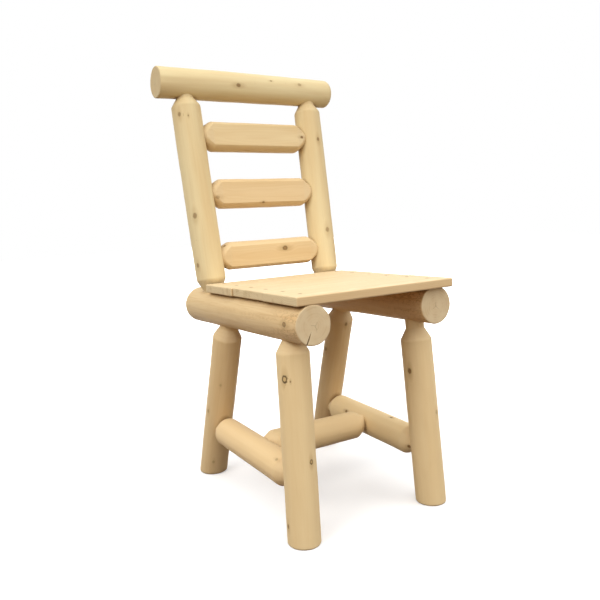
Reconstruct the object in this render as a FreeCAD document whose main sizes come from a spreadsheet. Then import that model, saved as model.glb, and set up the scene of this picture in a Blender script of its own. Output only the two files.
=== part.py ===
"""Rustic dining chair built from peeled logs, round tenons and a three-board seat.

Millimetres, +Z up, floor at Z = 0, origin under the middle of the overall box.
The chair faces -Y; left and right are as seen from the front (left is -X).
"""
import FreeCAD, Part
import math
import os

import Sketcher

Vector = FreeCAD.Vector

# Driving sizes: millimetres, degrees where the name ends in angle, and shares where it ends in share.
SIZES = (
    ("seat_height", 457.0, "floor to the top of the seat's front edge"),
    ("seat_tilt_angle", 2.75, "fall of the seat and its rails towards the back"),
    ("board_width", 124.6, "seat board, front to back"),
    ("board_thickness", 17.0, "seat board"),
    ("board_gap", 0.6, "between neighbouring seat boards"),
    ("board_round", 3.0, "eased edges of a seat board"),
    ("front_seat_board_overhang", 30.4, "board end beyond the axis of the rail under it"),
    ("middle_seat_board_overhang", 28.0, "board end beyond the axis of the rail under it"),
    ("rear_seat_board_overhang", 31.4, "board end beyond the axis of the rail under it"),
    ("rail_spacing", 286.0, "between the axes of the two seat rails"),
    ("left_rail_front_flat", 1.2, "depth planed off the left rail's top at its front end"),
    ("right_rail_front_flat", 2.6, "depth planed off the right rail's top at its front end"),
    ("rail_rear_flat", 3.0, "depth of a rail's flat if it ran on to the rear end"),
    ("rail_flat_tail", 1.5, "planed flat behind the last board"),
    ("rail_tail", 89.5, "rear end of a rail behind the axis of the post on it"),
    ("rail_tail_round", 12.0, "rounded rear end of a rail"),
    ("left_rail_inset", 0.4, "front end of the left rail behind the seat's front edge"),
    ("right_rail_inset", 15.5, "front end of the right rail behind the seat's front edge"),
    ("left_rail_front_diameter", 71.2, "left rail at its front end"),
    ("left_rail_rear_diameter", 77.5, "left rail at its rear end"),
    ("right_rail_front_diameter", 72.6, "right rail at its front end"),
    ("right_rail_rear_diameter", 74.4, "right rail at its rear end"),
    ("post_setback", 21.8, "post axis behind the seat's rear edge, at the rail axis"),
    ("post_lean_angle", 11.1, "backward lean of the posts"),
    ("post_outset", 1.4, "each post's foot outside the axis of its rail"),
    ("left_post_splay", 10.6, "left post's top outside its foot"),
    ("right_post_splay", 9.3, "right post's top outside its foot"),
    ("left_post_diameter", 63.0, "left back post"),
    ("right_post_diameter", 60.6, "right back post"),
    ("crest_height", 865.0, "floor to the crest's axis over the left post"),
    ("crest_fall", 7.4, "crest axis lower over the right post than over the left"),
    ("crest_overhang", 61.8, "crest end beyond the axis of the post under it"),
    ("crest_end_round", 12.0, "rounded right end of the crest"),
    ("crest_left_diameter", 67.3, "crest at its left end"),
    ("crest_right_diameter", 63.8, "crest at its right end"),
    ("upper_slat_share", 0.7652, "upper slat's place on the post, from rail axis to crest axis"),
    ("middle_slat_share", 0.5029, "middle slat's place on the post"),
    ("lower_slat_share", 0.2197, "lower slat's place on the post"),
    ("upper_slat_diameter", 65.3, "upper slat"),
    ("middle_slat_diameter", 64.8, "middle slat"),
    ("lower_slat_diameter", 61.3, "lower slat"),
    ("slat_flat", 9.6, "depth planed off the front of a slat"),
    ("upper_slat_roll_angle", 11.0, "upward turn of the upper slat's flat"),
    ("middle_slat_roll_angle", 8.4, "upward turn of the middle slat's flat"),
    ("lower_slat_roll_angle", 0.3, "upward turn of the lower slat's flat"),
    ("front_leg_inset", 80.8, "front leg axis behind the seat's front edge, at the rail axis"),
    ("leg_span", 245.8, "front to rear leg axis, along the rail"),
    ("front_leg_rake", 40.7, "front foot ahead of the leg's top"),
    ("rear_leg_rake", 115.5, "rear foot behind the leg's top"),
    ("front_leg_set_in", 2.6, "each front leg's top inside the axis of its rail"),
    ("leg_splay", 7.4, "each foot outside the axis of the rail above it"),
    ("front_left_leg_diameter", 61.2, "front left leg"),
    ("front_right_leg_diameter", 60.8, "front right leg"),
    ("rear_left_leg_diameter", 61.0, "rear left leg"),
    ("rear_right_leg_diameter", 59.0, "rear right leg"),
    ("front_left_leg_neck", -2.0, "rail to shoulder; below zero the shoulder is sunk in"),
    ("front_right_leg_neck", 14.0, "rail to shoulder; below zero the shoulder is sunk in"),
    ("rear_left_leg_neck", 1.0, "rail to shoulder; below zero the shoulder is sunk in"),
    ("rear_right_leg_neck", -2.0, "rail to shoulder; below zero the shoulder is sunk in"),
    ("left_stretcher_height", 114.8, "floor to the left side stretcher's axis"),
    ("right_stretcher_height", 111.4, "floor to the right side stretcher's axis"),
    ("cross_stretcher_height", 113.0, "floor to the cross stretcher's axis"),
    ("cross_stretcher_share", 0.519, "cross stretcher's place on the side stretchers, from the front"),
    ("left_stretcher_diameter", 60.3, "left side stretcher"),
    ("right_stretcher_diameter", 59.7, "right side stretcher"),
    ("cross_stretcher_diameter", 59.4, "cross stretcher"),
    ("post_foot_tenon_diameter", 38.0, "tenons of the back posts in the rails"),
    ("post_top_tenon_diameter", 38.0, "tenons of the back posts in the crest"),
    ("leg_tenon_diameter", 36.5, "tenons of the legs"),
    ("slat_tenon_diameter", 36.0, "tenons of the slats"),
    ("stretcher_tenon_diameter", 36.0, "tenons of the stretchers"),
    ("post_foot_tenon_depth", 46.0, "post tenon inside the rail"),
    ("post_top_tenon_depth", 46.0, "post tenon inside the crest"),
    ("leg_tenon_depth", 41.0, "leg tenon inside the rail"),
    ("slat_tenon_depth", 38.0, "slat tenon inside the post"),
    ("stretcher_tenon_depth", 38.0, "stretcher tenon inside the leg or side stretcher"),
    ("post_foot_neck", -4.0, "rail to shoulder; below zero the shoulder is sunk in"),
    ("post_top_neck", -1.0, "crest to shoulder; below zero the shoulder is sunk in"),
    ("slat_neck", -9.0, "post to shoulder; below zero the shoulder is sunk in"),
    ("side_stretcher_neck", -0.5, "leg to shoulder; below zero the shoulder is sunk in"),
    ("cross_stretcher_neck", -3.0, "side stretcher to shoulder; below zero the shoulder is sunk in"),
    ("post_foot_shoulder", 25.0, "conical shoulder between a post's barrel and its foot tenon"),
    ("post_top_shoulder", 18.0, "conical shoulder between a post's barrel and its top tenon"),
    ("leg_shoulder", 22.0, "conical shoulder between a leg's barrel and its tenon"),
    ("slat_shoulder", 24.0, "conical shoulder between a slat's barrel and its tenon"),
    ("stretcher_shoulder", 20.0, "conical shoulder between a stretcher's barrel and its tenon"),
    ("shoulder_round", 9.0, "rounding where barrel and shoulder meet"),
    ("sawn_rim_round", 2.5, "eased rim of a sawn log end"),
    ("foot_rim_round", 3.5, "eased rim of a foot"),
    ("mortise_clearance", 0.2, "tenon to mortise wall"),
    ("mortise_bottom", 0.8, "tenon end to mortise bottom"),
    ("screw_length", 40.0, "wood screw"),
    ("screw_head_diameter", 8.2, "wood screw"),
    ("screw_head_height", 3.2, "countersunk part of a wood screw"),
    ("screw_shank_diameter", 4.4, "wood screw"),
    ("screw_tip", 7.0, "pointed end of a wood screw"),
    ("screw_socket", 2.9, "square drive socket, across flats"),
    ("screw_socket_depth", 2.0, "square drive socket"),
    ("screw_clearance", 0.15, "screw to the wall of its hole"),
    ("board_screw_recess", 0.5, "screw head below the top of a board"),
    ("log_screw_recess", 2.0, "screw head below the surface of a log"),
    ("screw_tenon_margin", 15.0, "joint screw from the end of the tenon that it locks"),
    ("cut_overrun", 12.0, "how far a cutting block reaches past what it cuts"),
)
BOARD_NAMES = ("front_seat_board", "middle_seat_board", "rear_seat_board")
BOARD_SCREW_SHARES = (0.31, 0.80)
SAME_PLACE_SHARE = 0.0001
SIDES = (("left", -1), ("right", 1))

doc = FreeCAD.newDocument("log_dining_chair")
sheet = doc.addObject("Spreadsheet::Sheet", "Sizes")
sheet_rows = {}


def write_cell(alias, value, note):
    """Put one named number on the next row of the sheet."""
    row = len(sheet_rows) + 1
    sheet.set(f"A{row}", alias)
    sheet.set(f"B{row}", repr(float(value)))
    sheet.setAlias(f"B{row}", alias)
    sheet.set(f"C{row}", note)
    sheet_rows[alias] = float(value)


for size_alias, size_value, size_note in SIZES:
    write_cell(size_alias, size_value, size_note)


def size(alias):
    return sheet_rows[alias]


def bind(target, prop, formula):
    """Tie a property to the sheet; words in the formula that are aliases become references."""
    words = formula.split()
    target.setExpression(prop, " ".join(f"Sizes.{word}" if word in sheet_rows else word for word in words))


def turned(z_axis, x_hint, at):
    """Placement that turns local Z onto z_axis and local X as near to x_hint as it can be."""
    z_unit = Vector(z_axis).normalize()
    y_unit = z_unit.cross(x_hint).normalize()
    x_unit = y_unit.cross(z_unit)
    return FreeCAD.Placement(at, FreeCAD.Rotation(x_unit, y_unit, z_unit, "ZXY"))


def origin_plane(body, role):
    return next(plane for plane in body.Origin.OriginFeatures if plane.Role == role)


def revolved_body(name, vertices):
    """Body turned about its own Z axis from (radius formula, station formula) points, from axis to axis."""
    body = doc.addObject("PartDesign::Body", name)
    sketch = body.newObject("Sketcher::SketchObject", f"{name}_profile")
    sketch.AttachmentSupport = [(origin_plane(body, "XZ_Plane"), "")]
    sketch.MapMode = "FlatFace"
    places = [Vector(value(radius), value(station), 0) for radius, station in vertices]
    count = len(places)
    for index, place in enumerate(places):
        sketch.addGeometry(Part.LineSegment(place, places[(index + 1) % count]), False)
    for index in range(count):
        sketch.addConstraint(Sketcher.Constraint("Coincident", index, 2, (index + 1) % count, 1))
    for index, (radius, station) in enumerate(vertices):
        if radius == "0":
            sketch.addConstraint(Sketcher.Constraint("PointOnObject", index, 1, -2))
        else:
            drive(sketch, "DistanceX", index, radius, f"radius_{index}")
        if station == "0":
            sketch.addConstraint(Sketcher.Constraint("PointOnObject", index, 1, -1))
        else:
            drive(sketch, "DistanceY", index, station, f"station_{index}")
    turn = body.newObject("PartDesign::Revolution", f"{name}_turned")
    turn.Profile = sketch
    turn.ReferenceAxis = (sketch, ["V_Axis"])
    return body


def drive(sketch, kind, index, formula, label):
    """Dimension from the sketch's origin to a point, bound to the sheet."""
    place = sketch.addConstraint(Sketcher.Constraint(kind, -1, 1, index, 1, value(formula)))
    sketch.renameConstraint(place, label)
    bind(sketch, f"Constraints.{label}", formula)


def value(formula):
    """Number that a formula of aliases, spaces and the signs + - * / has."""
    total, sign = 0.0, 1.0
    product, operation = None, "*"
    for word in formula.split() + ["+"]:
        if word in "+-":
            total += sign * product
            sign = -1.0 if word == "-" else 1.0
            product, operation = None, "*"
        elif word in "*/":
            operation = word
        else:
            number = size(word) if word in sheet_rows else float(word)
            if product is None:
                product = number
            else:
                product = product * number if operation == "*" else product / number
    return total


def round_rims(body, rims):
    """Round circular edges of a turned body: rims holds (station formula, radius alias) pairs."""
    for station, alias in rims:
        doc.recompute()
        base = body.Tip
        height = value(station)
        circles = [edge.Curve if isinstance(edge.Curve, Part.Circle) else None for edge in base.Shape.Edges]
        at_height = [
            number
            for number, circle in enumerate(circles)
            if circle and abs(circle.Center.z - height) < circle.Radius * SAME_PLACE_SHARE
        ]
        widest = f"Edge{max(at_height, key=lambda number: circles[number].Radius) + 1}"
        fillet = body.newObject("PartDesign::Fillet", f"{body.Name}_{alias}")
        fillet.Base = (base, [widest])
        bind(fillet, "Radius", alias)


# Places in space, worked out from the driving sizes
tilt = math.radians(size("seat_tilt_angle"))
lean = math.tan(math.radians(size("post_lean_angle")))
seat_depth = len(BOARD_NAMES) * size("board_width") + (len(BOARD_NAMES) - 1) * size("board_gap")
post_place = seat_depth + size("post_setback")
for board_name in BOARD_NAMES:
    board_length = size("rail_spacing") + 2 * size(f"{board_name}_overhang")
    write_cell(f"{board_name}_length", board_length, "seat board, left to right")
write_cell("seat_depth", seat_depth, "front edge to rear edge of the seat")


def rail_drop(side, back):
    """Depth of a rail's axis below the top of the seat, which sets how deep its flat is."""
    first = size(f"{side}_rail_inset")
    share = (back - first) / (post_place + size("rail_tail") - first)
    front = size(f"{side}_rail_front_diameter") / 2 - size(f"{side}_rail_front_flat")
    rear = size(f"{side}_rail_rear_diameter") / 2 - size("rail_rear_flat")
    return size("board_thickness") + front + (rear - front) * share


def from_seat_edge(across, back, below):
    """Point given across, back along the seat and square below its top, from the front edge's middle."""
    return Vector(
        across,
        back * math.cos(tilt) - below * math.sin(tilt),
        size("seat_height") - back * math.sin(tilt) - below * math.cos(tilt),
    )


def post_top(side, sign):
    """Crossing of a post's axis and the crest's axis, before the origin is moved."""
    foot = from_seat_edge(0, post_place, rail_drop(side, post_place))
    height = size("crest_height") - (size("crest_fall") if side == "right" else 0)
    return Vector(
        sign * (size("rail_spacing") / 2 + size("post_outset") + size(f"{side}_post_splay")),
        foot.y + (height - foot.z) * lean,
        height,
    )


front_reach = max(
    (rail_drop(side, size(f"{side}_rail_inset")) + size(f"{side}_rail_front_diameter") / 2) * math.sin(tilt)
    - size(f"{side}_rail_inset") * math.cos(tilt)
    for side, sign in SIDES
)
crest_radius = max(size("crest_left_diameter"), size("crest_right_diameter")) / 2
rear_reach = post_top("left", -1).y + crest_radius
to_origin = Vector(0, (front_reach - rear_reach) / 2, 0)


def seat_point(across, back, below):
    return from_seat_edge(across, back, below) + to_origin


along_seat = seat_point(0, 1, 0) - seat_point(0, 0, 0)
above_seat = seat_point(0, 0, -1) - seat_point(0, 0, 0)

# Every log: its axis, the kind of each end and the sizes that it takes
logs = {}


def add_log(name, start, finish, start_diameter, finish_diameter, front=Vector(0, -1, 0)):
    logs[name] = {
        "start": start,
        "finish": finish,
        "unit": Vector(finish - start).normalize(),
        "diameters": (start_diameter, finish_diameter),
        "front": front,
        "ends": {},
        "blocks": [],
        "holes": [],
    }


def on_axis(name, share):
    log = logs[name]
    return log["start"] + (log["finish"] - log["start"]) * share


def radius_at(name, point):
    """Radius of a log's barrel beside a point, by its straight taper."""
    log = logs[name]
    share = (point - log["start"]).dot(log["unit"]) / (log["finish"] - log["start"]).Length
    first, last = (size(alias) / 2 for alias in log["diameters"])
    return first + (last - first) * min(max(share, 0), 1)


def lay_out_logs():
    for side, sign in SIDES:
        half = sign * size("rail_spacing") / 2
        rail_ends = (size(f"{side}_rail_inset"), post_place + size("rail_tail"))
        add_log(
            f"{side}_seat_rail",
            seat_point(half, rail_ends[0], rail_drop(side, rail_ends[0])),
            seat_point(half, rail_ends[1], rail_drop(side, rail_ends[1])),
            f"{side}_rail_front_diameter",
            f"{side}_rail_rear_diameter",
            front=Vector(-sign, 0, 0),
        )
        add_log(
            f"{side}_back_post",
            seat_point(half + sign * size("post_outset"), post_place, rail_drop(side, post_place)),
            post_top(side, sign) + to_origin,
            f"{side}_post_diameter",
            f"{side}_post_diameter",
        )
        for row, rake, place, set_in in (
            ("front", -size("front_leg_rake"), size("front_leg_inset"), size("front_leg_set_in")),
            ("rear", size("rear_leg_rake"), size("front_leg_inset") + size("leg_span"), 0),
        ):
            top = seat_point(half - sign * set_in, place, rail_drop(side, place))
            foot = Vector(half + sign * size("leg_splay"), top.y + rake, 0)
            diameter = f"{row}_{side}_leg_diameter"
            add_log(f"{row}_{side}_leg", foot, top, diameter, diameter)
        ends = [
            on_axis(leg, size(f"{side}_stretcher_height") / logs[leg]["finish"].z)
            for leg in (f"front_{side}_leg", f"rear_{side}_leg")
        ]
        diameter = f"{side}_stretcher_diameter"
        add_log(f"{side}_stretcher", ends[0], ends[1], diameter, diameter, front=Vector(-sign, 0, 0))
    cross_ends = []
    for side, sign in SIDES:
        crossing = on_axis(f"{side}_stretcher", size("cross_stretcher_share"))
        cross_ends.append(Vector(crossing.x, crossing.y, size("cross_stretcher_height")))
    add_log(
        "cross_stretcher",
        cross_ends[0],
        cross_ends[1],
        "cross_stretcher_diameter",
        "cross_stretcher_diameter",
    )
    tops = [logs[f"{side}_back_post"]["finish"] for side, sign in SIDES]
    reach = Vector(tops[1] - tops[0]).normalize() * size("crest_overhang")
    add_log("crest_log", tops[0] - reach, tops[1] + reach, "crest_left_diameter", "crest_right_diameter")
    for slat in ("upper_slat", "middle_slat", "lower_slat"):
        roll = math.radians(size(f"{slat}_roll_angle"))
        share = size(f"{slat}_share")
        add_log(
            slat,
            on_axis("left_back_post", share),
            on_axis("right_back_post", share),
            f"{slat}_diameter",
            f"{slat}_diameter",
            front=Vector(0, -math.cos(roll), math.sin(roll)),
        )


# Every tenon: which end of which log goes into which log, with its sizes, its screw's node and screw side
def list_tenons():
    tenons = []
    for side, sign in SIDES:
        inward = Vector(-sign, 0, 0)
        post = f"{side}_back_post"
        rail = f"{side}_seat_rail"
        tenons.append((post, "start", rail, "post_foot", "post_foot_neck", "post_foot_screws", inward))
        behind = Vector(0, 1, 0)
        tenons.append((post, "finish", "crest_log", "post_top", "post_top_neck", "crest_screws", behind))
        for row, end in (("front", "start"), ("rear", "finish")):
            leg = f"{row}_{side}_leg"
            tenons.append((leg, "finish", rail, "leg", f"{leg}_neck", "leg_screws", inward))
            stretcher = f"{side}_stretcher"
            tenons.append(
                (stretcher, end, leg, "stretcher", "side_stretcher_neck", "side_stretcher_screws", inward)
            )
        end = "start" if side == "left" else "finish"
        below = Vector(0, 0, -1)
        stretcher = f"{side}_stretcher"
        cross = "cross_stretcher"
        tenons.append((cross, end, stretcher, "stretcher", f"{cross}_neck", f"{cross}_screws", below))
        for slat in ("upper_slat", "middle_slat", "lower_slat"):
            tenons.append((slat, end, post, "slat", "slat_neck", "slat_screws", behind))
    return tenons


def set_tenon(name, end, host, kind, neck):
    """Work out where a tenon ends inside its host and where its shoulder starts."""
    log = logs[name]
    crossing = log[end]
    outward = log["unit"] if end == "start" else -log["unit"]
    host_unit = logs[host]["unit"]
    slant = math.sqrt(1 - outward.dot(host_unit) ** 2)
    surface = radius_at(host, crossing) / slant
    tip = surface - size(f"{kind}_tenon_depth")
    alias = f"{name}_{end}_tenon"
    write_cell(alias, size(f"{kind}_tenon_depth") + size(neck), "tenon with its neck")
    log["ends"][end] = {"alias": alias, "kind": kind, "tip": crossing + outward * tip, "outward": outward}


def log_stations(name):
    """Corner points of a log's half profile from its start, as formulas, and the rims to be rounded."""
    log = logs[name]
    first, last = (f"{alias} / 2" for alias in log["diameters"])
    points, rims = [("0", "0")], []
    station = "0"
    if "start" in log["ends"]:
        end = log["ends"]["start"]
        neck = f"{end['kind']}_tenon_diameter / 2"
        shoulder = f"{end['alias']} + {end['kind']}_shoulder"
        points += [(neck, "0"), (neck, end["alias"]), (first, shoulder)]
        rims.append((shoulder, "shoulder_round"))
        station = shoulder
    else:
        points.append((first, "0"))
    barrel = f"{station} + {name}_barrel"
    points.append((last, barrel))
    if "finish" in log["ends"]:
        end = log["ends"]["finish"]
        neck = f"{end['kind']}_tenon_diameter / 2"
        shoulder = f"{barrel} + {end['kind']}_shoulder"
        tip = f"{shoulder} + {end['alias']}"
        points += [(neck, shoulder), (neck, tip), ("0", tip)]
        rims.append((barrel, "shoulder_round"))
    else:
        points.append(("0", barrel))
    return points, rims


def build_log(name):
    """Turned log: barrel, shoulders and tenons, placed on its axis."""
    log = logs[name]
    start = log["ends"]["start"]["tip"] if "start" in log["ends"] else log["start"]
    if name.endswith("_leg"):
        start = start - log["unit"] * (size(log["diameters"][0]) / 2)
    finish = log["ends"]["finish"]["tip"] if "finish" in log["ends"] else log["finish"]
    barrel = (finish - start).Length
    for end in log["ends"].values():
        barrel -= size(end["alias"]) + size(f"{end['kind']}_shoulder")
    write_cell(f"{name}_barrel", barrel, "log between its shoulders or ends")
    points, rims = log_stations(name)
    body = revolved_body(f"{name}_turning", points)
    if name.endswith("_seat_rail"):
        rims += [("0", "sawn_rim_round"), (f"{name}_barrel", "rail_tail_round")]
    if name == "crest_log":
        rims += [("0", "sawn_rim_round"), (f"{name}_barrel", "crest_end_round")]
    round_rims(body, rims)
    body.Placement = turned(log["unit"], log["front"], start)
    log["body"] = body
    log["base"] = start


def mortise(name, end, host):
    """Round mortise with a conical seat for the shoulder, a clearance larger than the tenon in it."""
    log = logs[name]
    tenon = log["ends"][end]
    outward = tenon["outward"]
    grip = f"{tenon['kind']}_tenon_diameter / 2 + mortise_clearance"
    bore = doc.addObject("Part::Cylinder", f"{name}_{end}_bore")
    bind(bore, "Radius", grip)
    bind(bore, "Height", f"{tenon['alias']} + mortise_bottom")
    bore.Placement = turned(outward, log["front"], tenon["tip"] - outward * size("mortise_bottom"))
    seat = doc.addObject("Part::Cone", f"{name}_{end}_seat")
    bind(seat, "Radius1", grip)
    bind(seat, "Radius2", f"{log['diameters'][0 if end == 'start' else 1]} / 2 + mortise_clearance")
    bind(seat, "Height", f"{tenon['kind']}_shoulder")
    seat.Placement = turned(outward, log["front"], tenon["tip"] + outward * size(tenon["alias"]))
    logs[host]["holes"] += [bore, seat]


def block(name, length, width, height, placement):
    """Cutting block with its sizes bound to the sheet."""
    box = doc.addObject("Part::Box", name)
    bind(box, "Length", length)
    bind(box, "Width", width)
    bind(box, "Height", height)
    box.Placement = placement
    return box


def plane_rail(side, sign):
    """Flat on top of a rail where the seat boards bed, ending just behind the last board."""
    diameter = f"{side}_rail_rear_diameter"
    name = f"{side}_seat_rail"
    corner = seat_point(
        sign * size("rail_spacing") / 2 - size(diameter) / 2,
        -size("cut_overrun"),
        size("board_thickness"),
    )
    flat = block(
        f"{side}_rail_bed",
        diameter,
        "cut_overrun + seat_depth + rail_flat_tail",
        diameter,
        turned(above_seat, Vector(1, 0, 0), corner),
    )
    logs[name]["blocks"].append(flat)


def plane_slat(name):
    """Flat along the front of a slat, running out over its shoulders."""
    log = logs[name]
    diameter = log["diameters"][0]
    across = log["unit"].cross(log["front"]).normalize()
    lift = size(diameter) / 2 - size("slat_flat")
    corner = log["base"] + log["front"] * lift - across * (size(diameter) / 2)
    ends = log["ends"]
    length = f"{ends['start']['alias']} + {ends['finish']['alias']} + {name}_barrel + slat_shoulder * 2"
    place = turned(log["unit"], log["front"], corner)
    log["blocks"].append(block(f"{name}_flat", diameter, diameter, length, place))


def level_foot(name):
    """Waste below the floor, so that the foot stands flat."""
    log = logs[name]
    diameter = log["diameters"][0]
    middle = log["start"]
    corner = Vector(middle.x - size(diameter), middle.y - size(diameter), -size(diameter))
    place = FreeCAD.Placement(corner, FreeCAD.Rotation())
    log["blocks"].append(block(f"{name}_floor", f"{diameter} * 2", f"{diameter} * 2", diameter, place))


# Screws: one turned master with a square socket, its hole, and the places where they are driven
def build_screw():
    stem = "screw_shank_diameter / 2"
    head = "screw_head_diameter / 2"
    neck = "screw_length - screw_head_height"
    turning = revolved_body(
        "screw_turning",
        [("0", "0"), (stem, "screw_tip"), (stem, neck), (head, "screw_length"), ("0", "screw_length")],
    )
    half = size("screw_socket") / 2
    socket = block(
        "screw_drive",
        "screw_socket",
        "screw_socket",
        "screw_socket_depth + cut_overrun",
        FreeCAD.Placement(
            Vector(-half, -half, size("screw_length") - size("screw_socket_depth")),
            FreeCAD.Rotation(),
        ),
    )
    screw = doc.addObject("Part::Cut", "wood_screw")
    screw.Base = turning
    screw.Tool = socket
    return screw


def build_screw_hole():
    stem = "screw_shank_diameter / 2 + screw_clearance"
    head = "screw_head_diameter / 2 + screw_clearance"
    neck = "screw_clearance + screw_length - screw_head_height"
    top = "screw_clearance + screw_length"
    mouth = f"{top} + cut_overrun"
    return revolved_body(
        "screw_hole",
        [("0", "0"), (stem, "0"), (stem, neck), (head, top), (head, mouth), ("0", mouth)],
    )


screw_groups = {}


def drive_screw(node, head, inward, cut_lists):
    """Add a screw by its head and direction, and its hole in the pieces that it goes through."""
    place = turned(-inward, Vector(inward.y, inward.z, inward.x), head + inward * size("screw_length"))
    links = screw_groups.setdefault(node, [])
    link = doc.addObject("App::Link", f"{node}_{len(links) + 1}")
    link.LinkedObject = screw_master
    link.Placement = place
    links.append(link)
    hole = doc.addObject("App::Link", f"{node}_{len(links)}_hole")
    hole.LinkedObject = screw_hole_master
    hole.Placement = FreeCAD.Placement(place.Base + inward * size("screw_clearance"), place.Rotation)
    for cuts in cut_lists:
        cuts.append(hole)


def lock_tenon(name, end, host, node, side):
    """Screw through the wall of the host, square to the tenon and into it."""
    tenon = logs[name]["ends"][end]
    outward = tenon["outward"]
    target = tenon["tip"] + outward * size("screw_tenon_margin")
    away = Vector(side - outward * side.dot(outward)).normalize()
    host_unit = logs[host]["unit"]
    offset = target - logs[host]["start"]
    offset = offset - host_unit * offset.dot(host_unit)
    across = away - host_unit * away.dot(host_unit)
    half_turn = offset.dot(across) / across.Length ** 2
    spare = (offset.Length ** 2 - radius_at(host, target) ** 2) / across.Length ** 2
    reach = -half_turn + math.sqrt(half_turn ** 2 - spare)
    head = target + away * (reach - size("log_screw_recess"))
    drive_screw(node, head, -away, [logs[host]["holes"], logs[name]["holes"]])


def build_board(index, name):
    """Seat board with eased edges, screwed down to both rails."""
    body = doc.addObject("PartDesign::Body", f"{name}_plank")
    sketch = body.newObject("Sketcher::SketchObject", f"{name}_outline")
    sketch.AttachmentSupport = [(origin_plane(body, "XY_Plane"), "")]
    sketch.MapMode = "FlatFace"
    length = f"{name}_length"
    corners = [("0", "0"), (length, "0"), (length, "board_width"), ("0", "board_width")]
    places = [Vector(value(across), value(back), 0) for across, back in corners]
    for corner, place in enumerate(places):
        sketch.addGeometry(Part.LineSegment(place, places[(corner + 1) % len(places)]), False)
    for corner in range(len(places)):
        sketch.addConstraint(Sketcher.Constraint("Coincident", corner, 2, (corner + 1) % len(places), 1))
    sketch.addConstraint(Sketcher.Constraint("Coincident", 0, 1, -1, 1))
    for edge in range(len(places)):
        sketch.addConstraint(Sketcher.Constraint("Vertical" if edge % 2 else "Horizontal", edge))
    drive(sketch, "DistanceX", 2, length, "length")
    drive(sketch, "DistanceY", 2, "board_width", "width")
    plank = body.newObject("PartDesign::Pad", f"{name}_thickness")
    plank.Profile = sketch
    bind(plank, "Length", "board_thickness")
    ease = body.newObject("PartDesign::Fillet", f"{name}_eased")
    ease.Base = (plank, [""])
    ease.UseAllEdges = True
    bind(ease, "Radius", "board_round")
    front = index * (size("board_width") + size("board_gap"))
    body.Placement = turned(
        above_seat, Vector(1, 0, 0), seat_point(-size(length) / 2, front, size("board_thickness"))
    )
    cuts = []
    for side, sign in SIDES:
        for share in BOARD_SCREW_SHARES:
            head = seat_point(
                sign * size("rail_spacing") / 2,
                front + share * size("board_width"),
                size("board_screw_recess"),
            )
            drive_screw("seat_screws", head, -above_seat, [cuts, logs[f"{side}_seat_rail"]["holes"]])
    return body, cuts


def cut_all(name, body, cuts):
    """Piece with all its cuts taken out."""
    tool = cuts[0]
    if len(cuts) > 1:
        tool = doc.addObject("Part::MultiFuse", f"{name}_cuts")
        tool.Shapes = cuts
    piece = doc.addObject("Part::Cut", f"{name}_cut")
    piece.Base = body
    piece.Tool = tool
    return piece


def ease_foot(name, piece):
    """Eased rim round the flat of a foot."""
    doc.recompute()
    edges = []
    for number, edge in enumerate(piece.Shape.Edges, 1):
        if edge.BoundBox.ZMax < size("foot_rim_round"):
            edges.append((number, size("foot_rim_round"), size("foot_rim_round")))
    eased = doc.addObject("Part::Fillet", f"{name}_eased")
    eased.Base = piece
    eased.Edges = edges
    return eased


lay_out_logs()
tenon_list = list_tenons()
for log_name, log_end, host_name, tenon_kind, neck_alias, screw_node, screw_side in tenon_list:
    set_tenon(log_name, log_end, host_name, tenon_kind, neck_alias)
doc.recompute()
for log_name in logs:
    build_log(log_name)
screw_master = build_screw()
screw_hole_master = build_screw_hole()
for log_name, log_end, host_name, tenon_kind, neck_alias, screw_node, screw_side in tenon_list:
    mortise(log_name, log_end, host_name)
    lock_tenon(log_name, log_end, host_name, screw_node, screw_side)
for rail_side, rail_sign in SIDES:
    plane_rail(rail_side, rail_sign)
for slat_name in ("upper_slat", "middle_slat", "lower_slat"):
    plane_slat(slat_name)
for log_name in logs:
    if log_name.endswith("_leg"):
        level_foot(log_name)
boards = {}
for board_index, board_name in enumerate(BOARD_NAMES):
    boards[board_name] = build_board(board_index, board_name)

# The finished pieces, each under the name of its node
pieces = {}
for log_name, log in logs.items():
    finished = log["body"]
    for block_number, waste in enumerate(log["blocks"]):
        finished = cut_all(f"{log_name}_planed_{block_number}", finished, [waste])
    if log_name.endswith("_leg"):
        finished = ease_foot(log_name, finished)
    pieces[log_name] = cut_all(log_name, finished, log["holes"])
for board_name, (board_body, board_cuts) in boards.items():
    pieces[board_name] = cut_all(board_name, board_body, board_cuts)
for group_name, group_links in screw_groups.items():
    group = doc.addObject("Part::Compound", f"{group_name}_group")
    group.Links = group_links
    pieces[group_name] = group
for piece_name, piece in pieces.items():
    piece.Label = piece_name
doc.recompute()

# Nothing is written unless every object and every piece is sound
for item in doc.Objects:
    if "Invalid" in item.State or "Error" in item.State:
        raise RuntimeError(f"{item.Name} failed: {item.State}")
for piece_name, piece in pieces.items():
    shape = piece.Shape
    if shape.isNull() or not shape.isValid():
        raise RuntimeError(f"{piece_name} is not a sound solid")
    expected = len(screw_groups.get(piece_name, [piece_name]))
    if len(shape.Solids) != expected:
        raise RuntimeError(f"{piece_name} has {len(shape.Solids)} solids, not {expected}")
for log_name, log in logs.items():
    if pieces[log_name].Shape.Volume >= log["body"].Shape.Volume:
        raise RuntimeError(f"{log_name} lost nothing to its cuts")

os.makedirs("parts", exist_ok=True)
for piece_name, piece in pieces.items():
    piece.Shape.exportStep(f"parts/{piece_name}.step")
whole = Part.makeCompound([piece.Shape for piece in pieces.values()]).optimalBoundingBox(True, False)
print(f"{len(pieces)} pieces, box {whole.XMin:.1f} {whole.XMax:.1f} {whole.YMin:.1f} {whole.YMax:.1f} "
      f"{whole.ZMin:.1f} {whole.ZMax:.1f}")
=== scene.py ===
"""A log dining chair: peeled white cedar logs, a seat of three sawn boards and zinc plated screws."""

import math

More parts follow.
